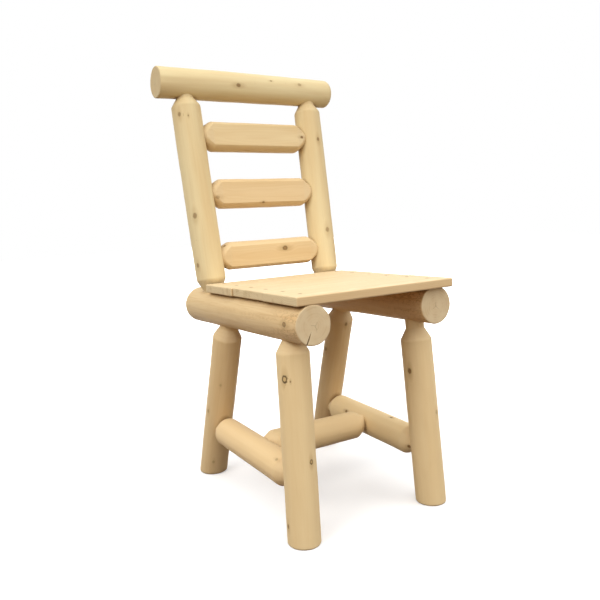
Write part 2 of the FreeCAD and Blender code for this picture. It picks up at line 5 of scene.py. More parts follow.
import bmesh
import bpy
import numpy as np
from mathutils import Matrix, Vector
from mathutils.bvhtree import BVHTree


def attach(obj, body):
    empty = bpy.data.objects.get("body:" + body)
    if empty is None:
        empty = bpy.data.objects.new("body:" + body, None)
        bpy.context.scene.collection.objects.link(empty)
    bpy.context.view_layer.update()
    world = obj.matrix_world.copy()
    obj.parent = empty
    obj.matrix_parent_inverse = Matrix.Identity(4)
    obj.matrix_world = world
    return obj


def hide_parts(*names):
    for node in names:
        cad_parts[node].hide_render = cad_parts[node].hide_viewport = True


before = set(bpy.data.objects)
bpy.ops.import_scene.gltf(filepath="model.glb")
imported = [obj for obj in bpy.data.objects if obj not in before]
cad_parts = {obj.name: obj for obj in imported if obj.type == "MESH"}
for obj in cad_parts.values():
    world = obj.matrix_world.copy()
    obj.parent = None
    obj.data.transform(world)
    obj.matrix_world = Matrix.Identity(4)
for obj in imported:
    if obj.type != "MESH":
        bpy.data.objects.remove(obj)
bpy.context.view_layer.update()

MM = 0.001

# The eye of the photograph
PHOTO_PIXELS = 600
SENSOR_WIDTH = 36.0
FOCAL_PIXELS = 692.37
MIDDLE_PIXEL = (298.4, 292.15)
EYE = Vector((-0.7464, -1.2299, 0.6374))
LOOK_TURN = math.radians(30.728)
LOOK_RISE = math.radians(-8.674)
LOOK_TILT = math.radians(-1.826)

level_right = Vector((math.cos(LOOK_TURN), -math.sin(LOOK_TURN), 0))
look = Vector((math.cos(LOOK_RISE) * math.sin(LOOK_TURN),
               math.cos(LOOK_RISE) * math.cos(LOOK_TURN),
               math.sin(LOOK_RISE)))
level_up = level_right.cross(look)
look_right = math.cos(LOOK_TILT) * level_right + math.sin(LOOK_TILT) * level_up
look_up = math.cos(LOOK_TILT) * level_up - math.sin(LOOK_TILT) * level_right

# The logs. Each knot that the photograph shows has its pixel across and down, its radius in mm and its
# look, above 0 for a pale heart, below 0 for a faint knot and 0 where none is given. The tone of the wood
# runs from yellow at 0 to peach at 1. Bark is the share of stained inner bark that is left, and bark_reach
# the length in mm over which it thins out from the log's first end. Bow is the bend in mm along the chair's
# axes, pale the share of paler wood, which on the stretchers is painted light where the seat shades them,
# fibre the strength of the fibres, and check the angle in degrees, the depth in mm and the reach in mm of
# a drying check
LOGS = {
    "crest_log": {
        "knots": ((238.5, 85.8, 5.2, -0.2), (271, 81.5, 2.6, -0.5), (299.5, 85.2, 4.6, -0.75)),
        "tone": 0.0, "bark": 0.15, "bow": (0, 0, 1.2)},
    "left_back_post": {
        "knots": ((179.7, 114.2, 4.6, -0.5), (188.6, 115.5, 2.0, -0.6), (195.6, 215.6, 6.0, -0.45),
                  (198.4, 265.4, 4.8, -0.5)),
        "tone": 0.05, "bark": 0.1, "bow": (-1.2, 0, 0)},
    "right_back_post": {
        "knots": ((317.6, 139.1, 4.4, -0.35), (327, 229.4, 5.6, -0.6)),
        "tone": 0.12, "bark": 0.1, "bow": (1.0, 0, 0)},
    "upper_slat": {"knots": ((301.8, 137.2, 3.6),), "tone": 0.4, "bark": 0.1, "fibre": 0.1},
    "middle_slat": {
        "knots": ((263.5, 202.1, 3.2, -0.2), (217.6, 197.2, 5.0, -0.9)),
        "tone": 0.7, "bark": 0.1, "fibre": 0.1},
    "lower_slat": {
        "knots": ((285.2, 247.9, 6.0, 0.2), (224.5, 246.1, 3.0)), "tone": 0.65, "bark": 0.1, "fibre": 0.12},
    "left_seat_rail": {
        "knots": ((284.2, 324.5, 5.4, 0.3),),
        "tone": 0.5, "bark": 1.0, "bark_reach": 440, "fibre": 0.24, "check": (204, 3.0, 40)},
    "right_seat_rail": {"knots": (), "tone": 1.0, "bark": 1.0, "bark_reach": 500, "fibre": 0.26},
    "front_left_leg": {
        "knots": ((284.7, 379.3, 6.2, 1.0), (290.4, 381.7, 1.8, -0.3), (311.3, 461.9, 4.2, 0.7),
                  (288.3, 526.4, 4.4, -0.3)),
        "tone": 0.5, "bark": 0.1, "pale": 0.35},
    "front_right_leg": {
        "knots": ((409.7, 370.9, 5.6), (436.5, 411.9, 4.6, -0.9)), "tone": 0.6, "bark": 0.1, "pale": 0.42},
    "rear_left_leg": {
        "knots": ((208.2, 410.8, 4.4, -0.9), (220.6, 385.3, 3.2, -1.2), (213.5, 461.8, 3.6, -1.1)),
        "tone": 0.6, "bark": 0.2},
    "rear_right_leg": {
        "knots": ((346, 324.1, 4.2, -0.4), (325.9, 348.8, 5.0, -0.5)), "tone": 0.65, "bark": 0.3},
    # The pale share of the stretchers is painted light, lifting them where the seat shades them
    "left_stretcher": {"knots": ((276.7, 459.5, 3.6, -0.9),), "tone": 1.0, "bark": 0.2, "pale": 0.5},
    "right_stretcher": {
        "knots": ((346.5, 411.3, 3.8), (391.3, 417.4, 3.2), (409.2, 446.3, 4.2)),
        "tone": 0.4, "bark": 0.1, "pale": 1.0},
    "cross_stretcher": {"knots": (), "tone": 0.7, "bark": 0.1, "pale": 0.45},
}
BOARDS = ("front_seat_board", "middle_seat_board", "rear_seat_board")
SCREWS = ("seat_screws", "crest_screws", "post_foot_screws", "slat_screws", "leg_screws",
          "side_stretcher_screws", "cross_stretcher_screws")


def add(tree, kind, settings=None, inputs=None):
    """Adds a node, with its settings by name and its inputs by name or number: values, nodes or sockets."""
    node = tree.nodes.new(kind)
    for key, value in (settings or {}).items():
        setattr(node, key, value)
    for key, value in (inputs or {}).items():
        if isinstance(value, bpy.types.Node):
            value = value.outputs[0]
        if isinstance(value, bpy.types.NodeSocket):
            tree.links.new(value, node.inputs[key])
        else:
            node.inputs[key].default_value = value
    return node


def paint(hex_colour):
    """Linear colour of an sRGB hex value."""
    shares = [int(hex_colour[at:at + 2], 16) / 255 for at in (0, 2, 4)]
    linear = [share / 12.92 if share <= 0.04045 else ((share + 0.055) / 1.055) ** 2.4 for share in shares]
    return (*linear, 1.0)


# Materials

def new_material(name):
    """An empty material with its output and a Principled shader joined to it."""
    material = bpy.data.materials.new(name)
    material.use_nodes = True
    tree = material.node_tree
    tree.nodes.clear()
    shader = add(tree, "ShaderNodeBsdfPrincipled")
    add(tree, "ShaderNodeOutputMaterial", None, {"Surface": shader})
    return material, tree, shader


# Painted shade darkens the wood within this distance of another surface, in the crevices where pieces meet
CREVICE_REACH = 12 * MM


def painted_crevice_shade(tree, wood, most):
    """The wood's colour with painted shade in the crevices where pieces meet, up to the share given."""
    crevice = add(tree, "ShaderNodeAmbientOcclusion", {"samples": 4}, {"Distance": CREVICE_REACH})
    painted_shade_share = add(tree, "ShaderNodeMapRange", None,
                     {"Value": crevice.outputs["AO"], "From Min": 0.15, "From Max": 0.78,
                      "To Min": most, "To Max": 0.0})
    return add(tree, "ShaderNodeMix", {"data_type": "RGBA"},
               {"Factor": painted_shade_share.outputs[0], 6: wood, 7: paint("7E5629")}).outputs[2]


# Growth rings of white cedar are 1 to 2 mm wide, drawn at 3 mm on planed faces and at 5 mm on sawn ends,
# because finer ones don't show at this size
RING_WIDTH = 3.0 * MM
END_RING_WIDTH = 5.0 * MM
# Fibres are far finer than this, drawn as streaks 1.2 mm wide and 70 mm long for the same reason
FIBRE_WIDTH = 1.2 * MM
FIBRE_LENGTH = 70 * MM
# Single darker streaks along the logs with strong fibres
STREAK_WIDTH = 3.2 * MM
STREAK_LENGTH = 90 * MM
# Short thin lines of inner bark that the knife left
BARK_WIDTH = 7 * MM
BARK_LENGTH = 18 * MM
# Bands of browner wood along the log, as wide as the strokes of the peeling knife
PATCH_WIDTH = 24 * MM
PATCH_LENGTH = 260 * MM
# Cracks that open at the heart of a sawn end as it dries
HEART_ARMS = 3
HEART_REACH = 14 * MM


def peeled_cedar_material():
    """White cedar, peeled and dry: matt and pale, with soft bands and fine streaks along the log, growth
    rings that show as faint lines on planed faces and as circles round a cracked heart on sawn ends, and
    brown knots."""
    material, tree, shader = new_material("peeled white cedar")
    grain, knot = (
        add(tree, "ShaderNodeAttribute", {"attribute_name": label}).outputs["Vector"]
        for label in ("grain", "knot"))
    knot_look, check, end_share, planed, tone, pale, bark, fibre_force, seed = (
        add(tree, "ShaderNodeAttribute", {"attribute_name": label}).outputs["Fac"]
        for label in ("knot_look", "check", "end_share", "planed", "tone", "pale", "bark", "fibre", "seed"))

    # The pith wanders along the log
    wander_place = add(tree, "ShaderNodeVectorMath", {"operation": "MULTIPLY"},
                       {0: grain, 1: (0, 0, 5.0)})
    wander = add(tree, "ShaderNodeTexNoise", {"noise_dimensions": "4D"},
                 {"Vector": wander_place, "W": seed, "Scale": 1.0, "Detail": 1.0})
    wander_middle = add(tree, "ShaderNodeVectorMath", {"operation": "SUBTRACT"},
                        {0: wander.outputs["Color"], 1: (0.5, 0.5, 0.5)})
    wander_reach = add(tree, "ShaderNodeVectorMath", {"operation": "MULTIPLY"},
                       {0: wander_middle, 1: (16 * MM, 16 * MM, 0)})
    from_pith = add(tree, "ShaderNodeVectorMath", {"operation": "ADD"}, {0: grain, 1: wander_reach})
    across_pith = add(tree, "ShaderNodeVectorMath", {"operation": "MULTIPLY"},
                      {0: from_pith, 1: (1, 1, 0)})
    pith_distance = add(tree, "ShaderNodeVectorMath", {"operation": "LENGTH"},
                        {0: across_pith}).outputs["Value"]
    wave_place = add(tree, "ShaderNodeVectorMath", {"operation": "MULTIPLY"},
                     {0: grain, 1: (1, 1, 0.12)})
    wave = add(tree, "ShaderNodeTexNoise", {"noise_dimensions": "4D"},
               {"Vector": wave_place, "W": seed, "Scale": 1 / (22 * MM), "Detail": 2.0})
    knot_distance = add(tree, "ShaderNodeVectorMath", {"operation": "LENGTH"},
                        {0: knot}).outputs["Value"]
    knot_stretched = add(tree, "ShaderNodeVectorMath", {"operation": "MULTIPLY"},
                         {0: knot, 1: (1, 0.5, 1)})
    knot_reach = add(tree, "ShaderNodeVectorMath", {"operation": "LENGTH"},
                     {0: knot_stretched}).outputs["Value"]
    knot_lift = add(tree, "ShaderNodeMapRange", {"interpolation_type": "SMOOTHSTEP"},
                    {"Value": knot_reach, "From Min": 0.4, "From Max": 2.6, "To Min": 5.0 * MM,
                     "To Max": 0.0})
    waved = add(tree, "ShaderNodeMath", {"operation": "MULTIPLY_ADD"},
                {0: wave.outputs["Fac"], 1: 4.0 * MM, 2: pith_distance})
    lifted = add(tree, "ShaderNodeMath", {"operation": "ADD"}, {0: waved, 1: knot_lift})
    ring_width = add(tree, "ShaderNodeMath", {"operation": "MULTIPLY_ADD"},
                     {0: end_share, 1: END_RING_WIDTH - RING_WIDTH, 2: RING_WIDTH})
    ring_count = add(tree, "ShaderNodeMath", {"operation": "DIVIDE"}, {0: lifted, 1: ring_width})
    ring_place = add(tree, "ShaderNodeMath", {"operation": "FRACT"}, {0: ring_count})
    late_wood = add(tree, "ShaderNodeValToRGB", None, {"Fac": ring_place})
    late_wood.color_ramp.elements[0].color = (0, 0, 0, 1)
    late_wood.color_ramp.elements[1].position = 0.99
    late_wood.color_ramp.elements[1].color = (0.1, 0.1, 0.1, 1)
    peak = late_wood.color_ramp.elements.new(0.84)
    peak.color = (1, 1, 1, 1)
    rise = late_wood.color_ramp.elements.new(0.4)
    rise.color = (0.12, 0.12, 0.12, 1)
    # Some years leave a darker ring than others
    ring_year = add(tree, "ShaderNodeTexNoise", {"noise_dimensions": "2D"},
                    {"Vector": add(tree, "ShaderNodeCombineXYZ", None, {0: ring_count, 1: seed}),
                     "Scale": 0.7, "Detail": 0.0})
    ring_force = add(tree, "ShaderNodeMapRange", None,
                     {"Value": ring_year.outputs["Fac"], "From Min": 0.35, "From Max": 0.65,
                      "To Min": 0.2})
    ring_line = add(tree, "ShaderNodeMath", {"operation": "MULTIPLY"},
                    {0: late_wood, 1: ring_force.outputs[0]})

    # Bands, streaks and what is left of the inner bark
    patch_place = add(tree, "ShaderNodeVectorMath", {"operation": "MULTIPLY"},
                      {0: grain, 1: (1 / PATCH_WIDTH, 1 / PATCH_WIDTH, 1 / PATCH_LENGTH)})
    patches = add(tree, "ShaderNodeTexNoise", {"noise_dimensions": "4D"},
                  {"Vector": patch_place, "W": seed, "Scale": 1.0, "Detail": 2.0, "Roughness": 0.5})
    fibre_place = add(tree, "ShaderNodeVectorMath", {"operation": "MULTIPLY"},
                      {0: grain, 1: (1 / FIBRE_WIDTH, 1 / FIBRE_WIDTH, 1 / FIBRE_LENGTH)})
    fibres = add(tree, "ShaderNodeTexNoise", {"noise_dimensions": "4D"},
                 {"Vector": fibre_place, "W": seed, "Scale": 1.0, "Detail": 3.0, "Roughness": 0.6})
    streak_place = add(tree, "ShaderNodeVectorMath", {"operation": "MULTIPLY"},
                       {0: grain, 1: (1 / STREAK_WIDTH, 1 / STREAK_WIDTH, 1 / STREAK_LENGTH)})
    streaks = add(tree, "ShaderNodeTexNoise", {"noise_dimensions": "4D"},
                  {"Vector": streak_place, "W": seed, "Scale": 1.0, "Detail": 3.0, "Roughness": 0.6})
    streak_line = add(tree, "ShaderNodeMapRange", {"interpolation_type": "SMOOTHSTEP"},
                      {"Value": streaks.outputs["Fac"], "From Min": 0.50, "From Max": 0.72})
    streak_force = add(tree, "ShaderNodeMath", {"operation": "MULTIPLY_ADD"},
                       {0: fibre_force, 1: 2.4, 2: -0.32})
    streak_share = add(tree, "ShaderNodeMath", {"operation": "MULTIPLY"},
                       {0: streak_line.outputs[0], 1: streak_force})
    bark_place = add(tree, "ShaderNodeVectorMath", {"operation": "MULTIPLY"},
                     {0: grain, 1: (1 / BARK_WIDTH, 1 / BARK_WIDTH, 1 / BARK_LENGTH)})
    bark_streaks = add(tree, "ShaderNodeTexNoise", {"noise_dimensions": "4D"},
                       {"Vector": bark_place, "W": seed, "Scale": 1.0, "Detail": 3.0, "Roughness": 0.6})
    bark_middle = add(tree, "ShaderNodeMath", {"operation": "SUBTRACT"},
                      {0: bark_streaks.outputs["Fac"], 1: 0.5})
    bark_off = add(tree, "ShaderNodeMath", {"operation": "ABSOLUTE"}, {0: bark_middle})
    bark_line = add(tree, "ShaderNodeMapRange", {"interpolation_type": "SMOOTHSTEP"},
                    {"Value": bark_off, "From Min": 0.012, "From Max": 0.05, "To Min": 1.0,
                     "To Max": 0.0})
    bark_cover = add(tree, "ShaderNodeMapRange", {"interpolation_type": "SMOOTHSTEP"},
                     {"Value": patches.outputs["Fac"], "From Min": 0.36, "From Max": 0.54})
    bark_here = add(tree, "ShaderNodeMath", {"operation": "MULTIPLY"}, {0: bark_line, 1: bark_cover})
    bark_cubed = add(tree, "ShaderNodeMath", {"operation": "POWER"}, {0: bark, 1: 3.0})
    bark_shown = add(tree, "ShaderNodeMath", {"operation": "MULTIPLY"}, {0: bark_here, 1: bark_cubed})

    # Colour, from the bare wood outwards
    yellow_to_peach = add(tree, "ShaderNodeMix", {"data_type": "RGBA"},
                          {"Factor": tone, 6: paint("ECDCAE"), 7: paint("ECCC9E")})
    patch_share = add(tree, "ShaderNodeMapRange", None,
                      {"Value": patches.outputs["Fac"], "From Min": 0.32, "From Max": 0.72,
                       "To Min": 0.0, "To Max": 0.40})
    patched = add(tree, "ShaderNodeMix", {"data_type": "RGBA"},
                  {"Factor": patch_share.outputs[0], 6: yellow_to_peach.outputs[2], 7: paint("D8B47C")})
    fibre_share = add(tree, "ShaderNodeMapRange", None,
                      {"Value": fibres.outputs["Fac"], "From Min": 0.3, "From Max": 0.75,
                       "To Min": 0.0, "To Max": fibre_force})
    fibred = add(tree, "ShaderNodeMix", {"data_type": "RGBA"},
                 {"Factor": fibre_share.outputs[0], 6: patched.outputs[2], 7: paint("C89F64")})
    streaked = add(tree, "ShaderNodeMix", {"data_type": "RGBA"},
                   {"Factor": streak_share, 6: fibred.outputs[2], 7: paint("AC7F46")})
    # Paler wood; on the stretchers this is painted light where the seat shades them
    paled = add(tree, "ShaderNodeMix", {"data_type": "RGBA"},
                {"Factor": pale, 6: streaked.outputs[2], 7: paint("FCE2AE")})
    ring_planed = add(tree, "ShaderNodeMath", {"operation": "MULTIPLY_ADD"},
                      {0: planed, 1: 0.06, 2: 0.03})
    ring_share = add(tree, "ShaderNodeMath", {"operation": "MULTIPLY"}, {0: ring_line, 1: ring_planed})
    ringed = add(tree, "ShaderNodeMix", {"data_type": "RGBA"},
                 {"Factor": ring_share, 6: paled.outputs[2], 7: paint("B98B4E")})
    stain_here = add(tree, "ShaderNodeMath", {"operation": "MULTIPLY"},
                     {0: bark, 1: patches.outputs["Fac"]})
    stain_share = add(tree, "ShaderNodeMath", {"operation": "MULTIPLY"}, {0: stain_here, 1: 0.58})
    tinted = add(tree, "ShaderNodeMix", {"data_type": "RGBA"},
                 {"Factor": stain_share, 6: ringed.outputs[2], 7: paint("D09C5C")})
    bark_share = add(tree, "ShaderNodeMath", {"operation": "MULTIPLY"}, {0: bark_shown, 1: 0.42})
    stained = add(tree, "ShaderNodeMix", {"data_type": "RGBA"},
                  {"Factor": bark_share, 6: tinted.outputs[2], 7: paint("8A5F2E")})

    # Sawn ends are greyer, with blotches, the rings as circles and cracks at the heart
    blotch = add(tree, "ShaderNodeTexNoise", {"noise_dimensions": "4D"},
                 {"Vector": grain, "W": seed, "Scale": 1 / (16 * MM), "Detail": 2.0})
    blotch_share = add(tree, "ShaderNodeMapRange", None,
                       {"Value": blotch.outputs["Fac"], "From Min": 0.35, "From Max": 0.7,
                        "To Max": 0.4})
    end_tone = add(tree, "ShaderNodeMath", {"operation": "MULTIPLY", "use_clamp": True},
                   {0: tone, 1: 3.0})
    end_pale = add(tree, "ShaderNodeMix", {"data_type": "RGBA"},
                   {"Factor": end_tone, 6: paint("D5C196"), 7: paint("E1CCA6")})
    end_base = add(tree, "ShaderNodeMix", {"data_type": "RGBA"},
                   {"Factor": blotch_share.outputs[0], 6: end_pale.outputs[2], 7: paint("D3B384")})
    end_force = add(tree, "ShaderNodeMapRange", {"interpolation_type": "SMOOTHSTEP"},
                    {"Value": blotch.outputs["Fac"], "From Min": 0.36, "From Max": 0.62,
                     "To Min": 0.03, "To Max": 0.24})
    end_ring = add(tree, "ShaderNodeMath", {"operation": "MULTIPLY"},
                   {0: ring_line, 1: end_force.outputs[0]})
    end_ringed = add(tree, "ShaderNodeMix", {"data_type": "RGBA"},
                     {"Factor": end_ring, 6: end_base.outputs[2], 7: paint("A98A58")})
    crack_split = add(tree, "ShaderNodeSeparateXYZ", None, {0: from_pith})
    crack_turn = add(tree, "ShaderNodeMath", {"operation": "ARCTAN2"},
                     {0: crack_split.outputs[1], 1: crack_split.outputs[0]})
    crack_wave = add(tree, "ShaderNodeMath", {"operation": "MULTIPLY_ADD"},
                     {0: blotch.outputs["Fac"], 1: 1.6, 2: crack_turn})
    crack_arms = add(tree, "ShaderNodeMath", {"operation": "MULTIPLY_ADD"},
                     {0: crack_wave, 1: HEART_ARMS / 2, 2: seed})
    crack_sine = add(tree, "ShaderNodeMath", {"operation": "SINE"}, {0: crack_arms})
    crack_size = add(tree, "ShaderNodeMath", {"operation": "ABSOLUTE"}, {0: crack_sine})
    crack_off = add(tree, "ShaderNodeMath", {"operation": "MULTIPLY"},
                    {0: crack_size, 1: pith_distance})
    crack_line = add(tree, "ShaderNodeMapRange", {"interpolation_type": "SMOOTHSTEP"},
                     {"Value": crack_off, "From Min": 0.3 * MM, "From Max": 1.3 * MM,
                      "To Min": 0.34, "To Max": 0.0})
    crack_near = add(tree, "ShaderNodeMapRange", {"interpolation_type": "SMOOTHSTEP"},
                     {"Value": pith_distance, "From Min": HEART_REACH / 3, "From Max": HEART_REACH,
                      "To Min": 1.0, "To Max": 0.0})
    crack_share = add(tree, "ShaderNodeMath", {"operation": "MULTIPLY"},
                      {0: crack_line.outputs[0], 1: crack_near.outputs[0]})
    end_wood = add(tree, "ShaderNodeMix", {"data_type": "RGBA"},
                   {"Factor": crack_share, 6: end_ringed.outputs[2], 7: paint("86683E")})
    ended = add(tree, "ShaderNodeMix", {"data_type": "RGBA"},
                {"Factor": end_share, 6: stained.outputs[2], 7: end_wood.outputs[2]})

    # Knots: a brown or pale heart in a darker ring, in a halo that runs along the log
    knot_pale = add(tree, "ShaderNodeMath", {"operation": "MAXIMUM"}, {0: knot_look, 1: 0.0})
    knot_faint = add(tree, "ShaderNodeMath", {"operation": "MINIMUM"}, {0: knot_look, 1: 0.0})
    knot_force = add(tree, "ShaderNodeMath", {"operation": "MULTIPLY_ADD"},
                     {0: knot_faint, 1: 0.6, 2: 1.0})
    halo = add(tree, "ShaderNodeMapRange", {"interpolation_type": "SMOOTHSTEP"},
               {"Value": knot_reach, "From Min": 0.5, "From Max": 1.9, "To Min": 0.36, "To Max": 0.0})
    halo_share = add(tree, "ShaderNodeMath", {"operation": "MULTIPLY"},
                     {0: halo.outputs[0], 1: knot_force})
    haloed = add(tree, "ShaderNodeMix", {"data_type": "RGBA"},
                 {"Factor": halo_share, 6: ended.outputs[2], 7: paint("AE8850")})
    knot_noise = add(tree, "ShaderNodeTexNoise", None, {"Vector": knot, "Scale": 1.6, "Detail": 2.0})
    knot_edge = add(tree, "ShaderNodeMath", {"operation": "MULTIPLY_ADD"},
                    {0: knot_noise.outputs["Fac"], 1: 0.5, 2: knot_distance})
    heart_colour = add(tree, "ShaderNodeMix", {"data_type": "RGBA"},
                       {"Factor": knot_pale, 6: paint("7E5A30"), 7: paint("D2B27A")})
    ring_colour = add(tree, "ShaderNodeMix", {"data_type": "RGBA"},
                      {"Factor": knot_pale, 6: paint("785830"), 7: paint("35240F")})
    knot_rim = add(tree, "ShaderNodeMapRange", {"interpolation_type": "SMOOTHSTEP"},
                   {"Value": knot_edge, "From Min": 0.62, "From Max": 0.92})
    knot_colour = add(tree, "ShaderNodeMix", {"data_type": "RGBA"},
                      {"Factor": knot_rim.outputs[0], 6: heart_colour.outputs[2],
                       7: ring_colour.outputs[2]})
    knot_hold = add(tree, "ShaderNodeMath", {"operation": "MULTIPLY_ADD"},
                    {0: knot_pale, 1: 0.25, 2: 0.75})
    knot_share = add(tree, "ShaderNodeMapRange", {"interpolation_type": "SMOOTHSTEP"},
                     {"Value": knot_edge, "From Min": knot_hold, "From Max": 1.3, "To Min": 0.88,
                      "To Max": 0.0})
    knot_shown = add(tree, "ShaderNodeMath", {"operation": "MULTIPLY"},
                     {0: knot_share.outputs[0], 1: knot_force})
    knotted = add(tree, "ShaderNodeMix", {"data_type": "RGBA"},
                  {"Factor": knot_shown, 6: haloed.outputs[2], 7: knot_colour.outputs[2]})
    # The inside of a drying check is dark
    check_share = add(tree, "ShaderNodeMath", {"operation": "MULTIPLY"}, {0: check, 1: 0.9})
    cracked = add(tree, "ShaderNodeMix", {"data_type": "RGBA"},
                  {"Factor": check_share, 6: knotted.outputs[2], 7: paint("4A3219")})

    # Fibres stand up a little, and so do the rings of a planed face
    ring_height = add(tree, "ShaderNodeMath", {"operation": "MULTIPLY"}, {0: ring_line, 1: planed})
    height = add(tree, "ShaderNodeMath", {"operation": "MULTIPLY_ADD"},
                 {0: fibres.outputs["Fac"], 1: 0.6, 2: ring_height})
    bump = add(tree, "ShaderNodeBump", None,
               {"Height": height, "Strength": 0.35, "Distance": 0.25 * MM})
    rough = add(tree, "ShaderNodeMapRange", None,
                {"Value": fibres.outputs["Fac"], "From Min": 0.2, "From Max": 0.8, "To Min": 0.48,
                 "To Max": 0.68})
    # The base colour carries painted shade in the crevices where pieces meet
    tree.links.new(painted_crevice_shade(tree, cracked.outputs[2], 0.68), shader.inputs["Base Color"])
    tree.links.new(rough.outputs[0], shader.inputs["Roughness"])
    tree.links.new(bump.outputs[0], shader.inputs["Normal"])
    shader.inputs["IOR"].default_value = 1.5
    shader.inputs["Specular IOR Level"].default_value = 0.22
    return material


def sawn_cedar_material(name, pith_y, pith_z, seed):
    """White cedar sawn into boards and planed: pale, with long lines where the saw cut the growth rings,
    greyer on the sawn ends."""
    material, tree, shader = new_material(name)
    coordinates = add(tree, "ShaderNodeTexCoord")
    place, facing = coordinates.outputs["Object"], coordinates.outputs["Normal"]
    # The pith of the log runs along the board, above it or below it, and wanders
    wander_place = add(tree, "ShaderNodeVectorMath", {"operation": "MULTIPLY"},
                       {0: place, 1: (5.0, 0, 0)})
    wander = add(tree, "ShaderNodeTexNoise", {"noise_dimensions": "4D"},
                 {"Vector": wander_place, "W": seed, "Scale": 1.0, "Detail": 1.0})
    wander_middle = add(tree, "ShaderNodeVectorMath", {"operation": "SUBTRACT"},
                        {0: wander.outputs["Color"], 1: (0.5, 0.5, 0.5)})
    wander_reach = add(tree, "ShaderNodeVectorMath", {"operation": "MULTIPLY"},
                       {0: wander_middle, 1: (0, 30 * MM, 30 * MM)})
    from_pith = add(tree, "ShaderNodeVectorMath", {"operation": "ADD"}, {0: place, 1: wander_reach})
    centred = add(tree, "ShaderNodeVectorMath", {"operation": "SUBTRACT"},
                  {0: from_pith, 1: (0, pith_y, pith_z)})
    across_pith = add(tree, "ShaderNodeVectorMath", {"operation": "MULTIPLY"},
                      {0: centred, 1: (0, 1, 1)})
    pith_distance = add(tree, "ShaderNodeVectorMath", {"operation": "LENGTH"},
                        {0: across_pith}).outputs["Value"]
    wave_place = add(tree, "ShaderNodeVectorMath", {"operation": "MULTIPLY"},
                     {0: place, 1: (0.15, 1, 1)})
    wave = add(tree, "ShaderNodeTexNoise", {"noise_dimensions": "4D"},
               {"Vector": wave_place, "W": seed, "Scale": 1 / (20 * MM), "Detail": 2.0})
    waved = add(tree, "ShaderNodeMath", {"operation": "MULTIPLY_ADD"},
                {0: wave.outputs["Fac"], 1: 4.0 * MM, 2: pith_distance})
    ring_count = add(tree, "ShaderNodeMath", {"operation": "DIVIDE"}, {0: waved, 1: RING_WIDTH})
    ring_place = add(tree, "ShaderNodeMath", {"operation": "FRACT"}, {0: ring_count})
    late_wood = add(tree, "ShaderNodeValToRGB", None, {"Fac": ring_place})
    late_wood.color_ramp.elements[0].color = (0, 0, 0, 1)
    late_wood.color_ramp.elements[1].position = 0.99
    late_wood.color_ramp.elements[1].color = (0.1, 0.1, 0.1, 1)
    peak = late_wood.color_ramp.elements.new(0.86)
    peak.color = (1, 1, 1, 1)

    # Bands, fibres and rings on the broad faces
    patch_place = add(tree, "ShaderNodeVectorMath", {"operation": "MULTIPLY"},
                      {0: place, 1: (1 / PATCH_LENGTH, 1 / PATCH_WIDTH, 1 / PATCH_WIDTH)})
    patches = add(tree, "ShaderNodeTexNoise", {"noise_dimensions": "4D"},
                  {"Vector": patch_place, "W": seed, "Scale": 1.0, "Detail": 3.0})
    fibre_place = add(tree, "ShaderNodeVectorMath", {"operation": "MULTIPLY"},
                      {0: place, 1: (1 / FIBRE_LENGTH, 1 / FIBRE_WIDTH, 1 / FIBRE_WIDTH)})
    fibres = add(tree, "ShaderNodeTexNoise", {"noise_dimensions": "4D"},
                 {"Vector": fibre_place, "W": seed, "Scale": 1.0, "Detail": 3.0, "Roughness": 0.6})
    patch_share = add(tree, "ShaderNodeMapRange", None,
                      {"Value": patches.outputs["Fac"], "From Min": 0.3, "From Max": 0.7,
                       "To Min": 0.0, "To Max": 0.45})
    patched = add(tree, "ShaderNodeMix", {"data_type": "RGBA"},
                  {"Factor": patch_share.outputs[0], 6: paint("F1DFBA"), 7: paint("E8CC9A")})
    fibre_share = add(tree, "ShaderNodeMapRange", None,
                      {"Value": fibres.outputs["Fac"], "From Min": 0.3, "From Max": 0.75,
                       "To Min": 0.0, "To Max": 0.22})
    streaked = add(tree, "ShaderNodeMix", {"data_type": "RGBA"},
                   {"Factor": fibre_share.outputs[0], 6: patched.outputs[2], 7: paint("C79E62")})
    ring_share = add(tree, "ShaderNodeMath", {"operation": "MULTIPLY"}, {0: late_wood, 1: 0.2})
    ringed = add(tree, "ShaderNodeMix", {"data_type": "RGBA"},
                 {"Factor": ring_share, 6: streaked.outputs[2], 7: paint("BC8F52")})

    # Sawn ends, with blotches and stronger rings, and browner front edges
    facing_end = add(tree, "ShaderNodeVectorMath", {"operation": "DOT_PRODUCT"},
                     {0: facing, 1: (1, 0, 0)})
    end_size = add(tree, "ShaderNodeMath", {"operation": "ABSOLUTE"}, {0: facing_end.outputs["Value"]})
    end_share = add(tree, "ShaderNodeMapRange", {"interpolation_type": "SMOOTHSTEP"},
                    {"Value": end_size, "From Min": 0.5, "From Max": 0.9})
    end_ring = add(tree, "ShaderNodeMath", {"operation": "MULTIPLY"}, {0: late_wood, 1: 0.45})
    blotch_share = add(tree, "ShaderNodeMapRange", {"interpolation_type": "SMOOTHSTEP"},
                       {"Value": wave.outputs["Fac"], "From Min": 0.5, "From Max": 0.66,
                        "To Max": 0.45})
    end_base = add(tree, "ShaderNodeMix", {"data_type": "RGBA"},
                   {"Factor": blotch_share.outputs[0], 6: paint("EAD6AC"), 7: paint("C4A878")})
    end_wood = add(tree, "ShaderNodeMix", {"data_type": "RGBA"},
                   {"Factor": end_ring, 6: end_base.outputs[2], 7: paint("B8986A")})
    facing_front = add(tree, "ShaderNodeVectorMath", {"operation": "DOT_PRODUCT"},
                       {0: facing, 1: (0, -1, 0)})
    edge_share = add(tree, "ShaderNodeMapRange", {"interpolation_type": "SMOOTHSTEP"},
                     {"Value": facing_front.outputs["Value"], "From Min": 0.5, "From Max": 0.9,
                      "To Max": 0.45})
    edged = add(tree, "ShaderNodeMix", {"data_type": "RGBA"},
                {"Factor": edge_share.outputs[0], 6: ringed.outputs[2], 7: paint("D8B078")})
    ended = add(tree, "ShaderNodeMix", {"data_type": "RGBA"},
                {"Factor": end_share.outputs[0], 6: edged.outputs[2], 7: end_wood.outputs[2]})

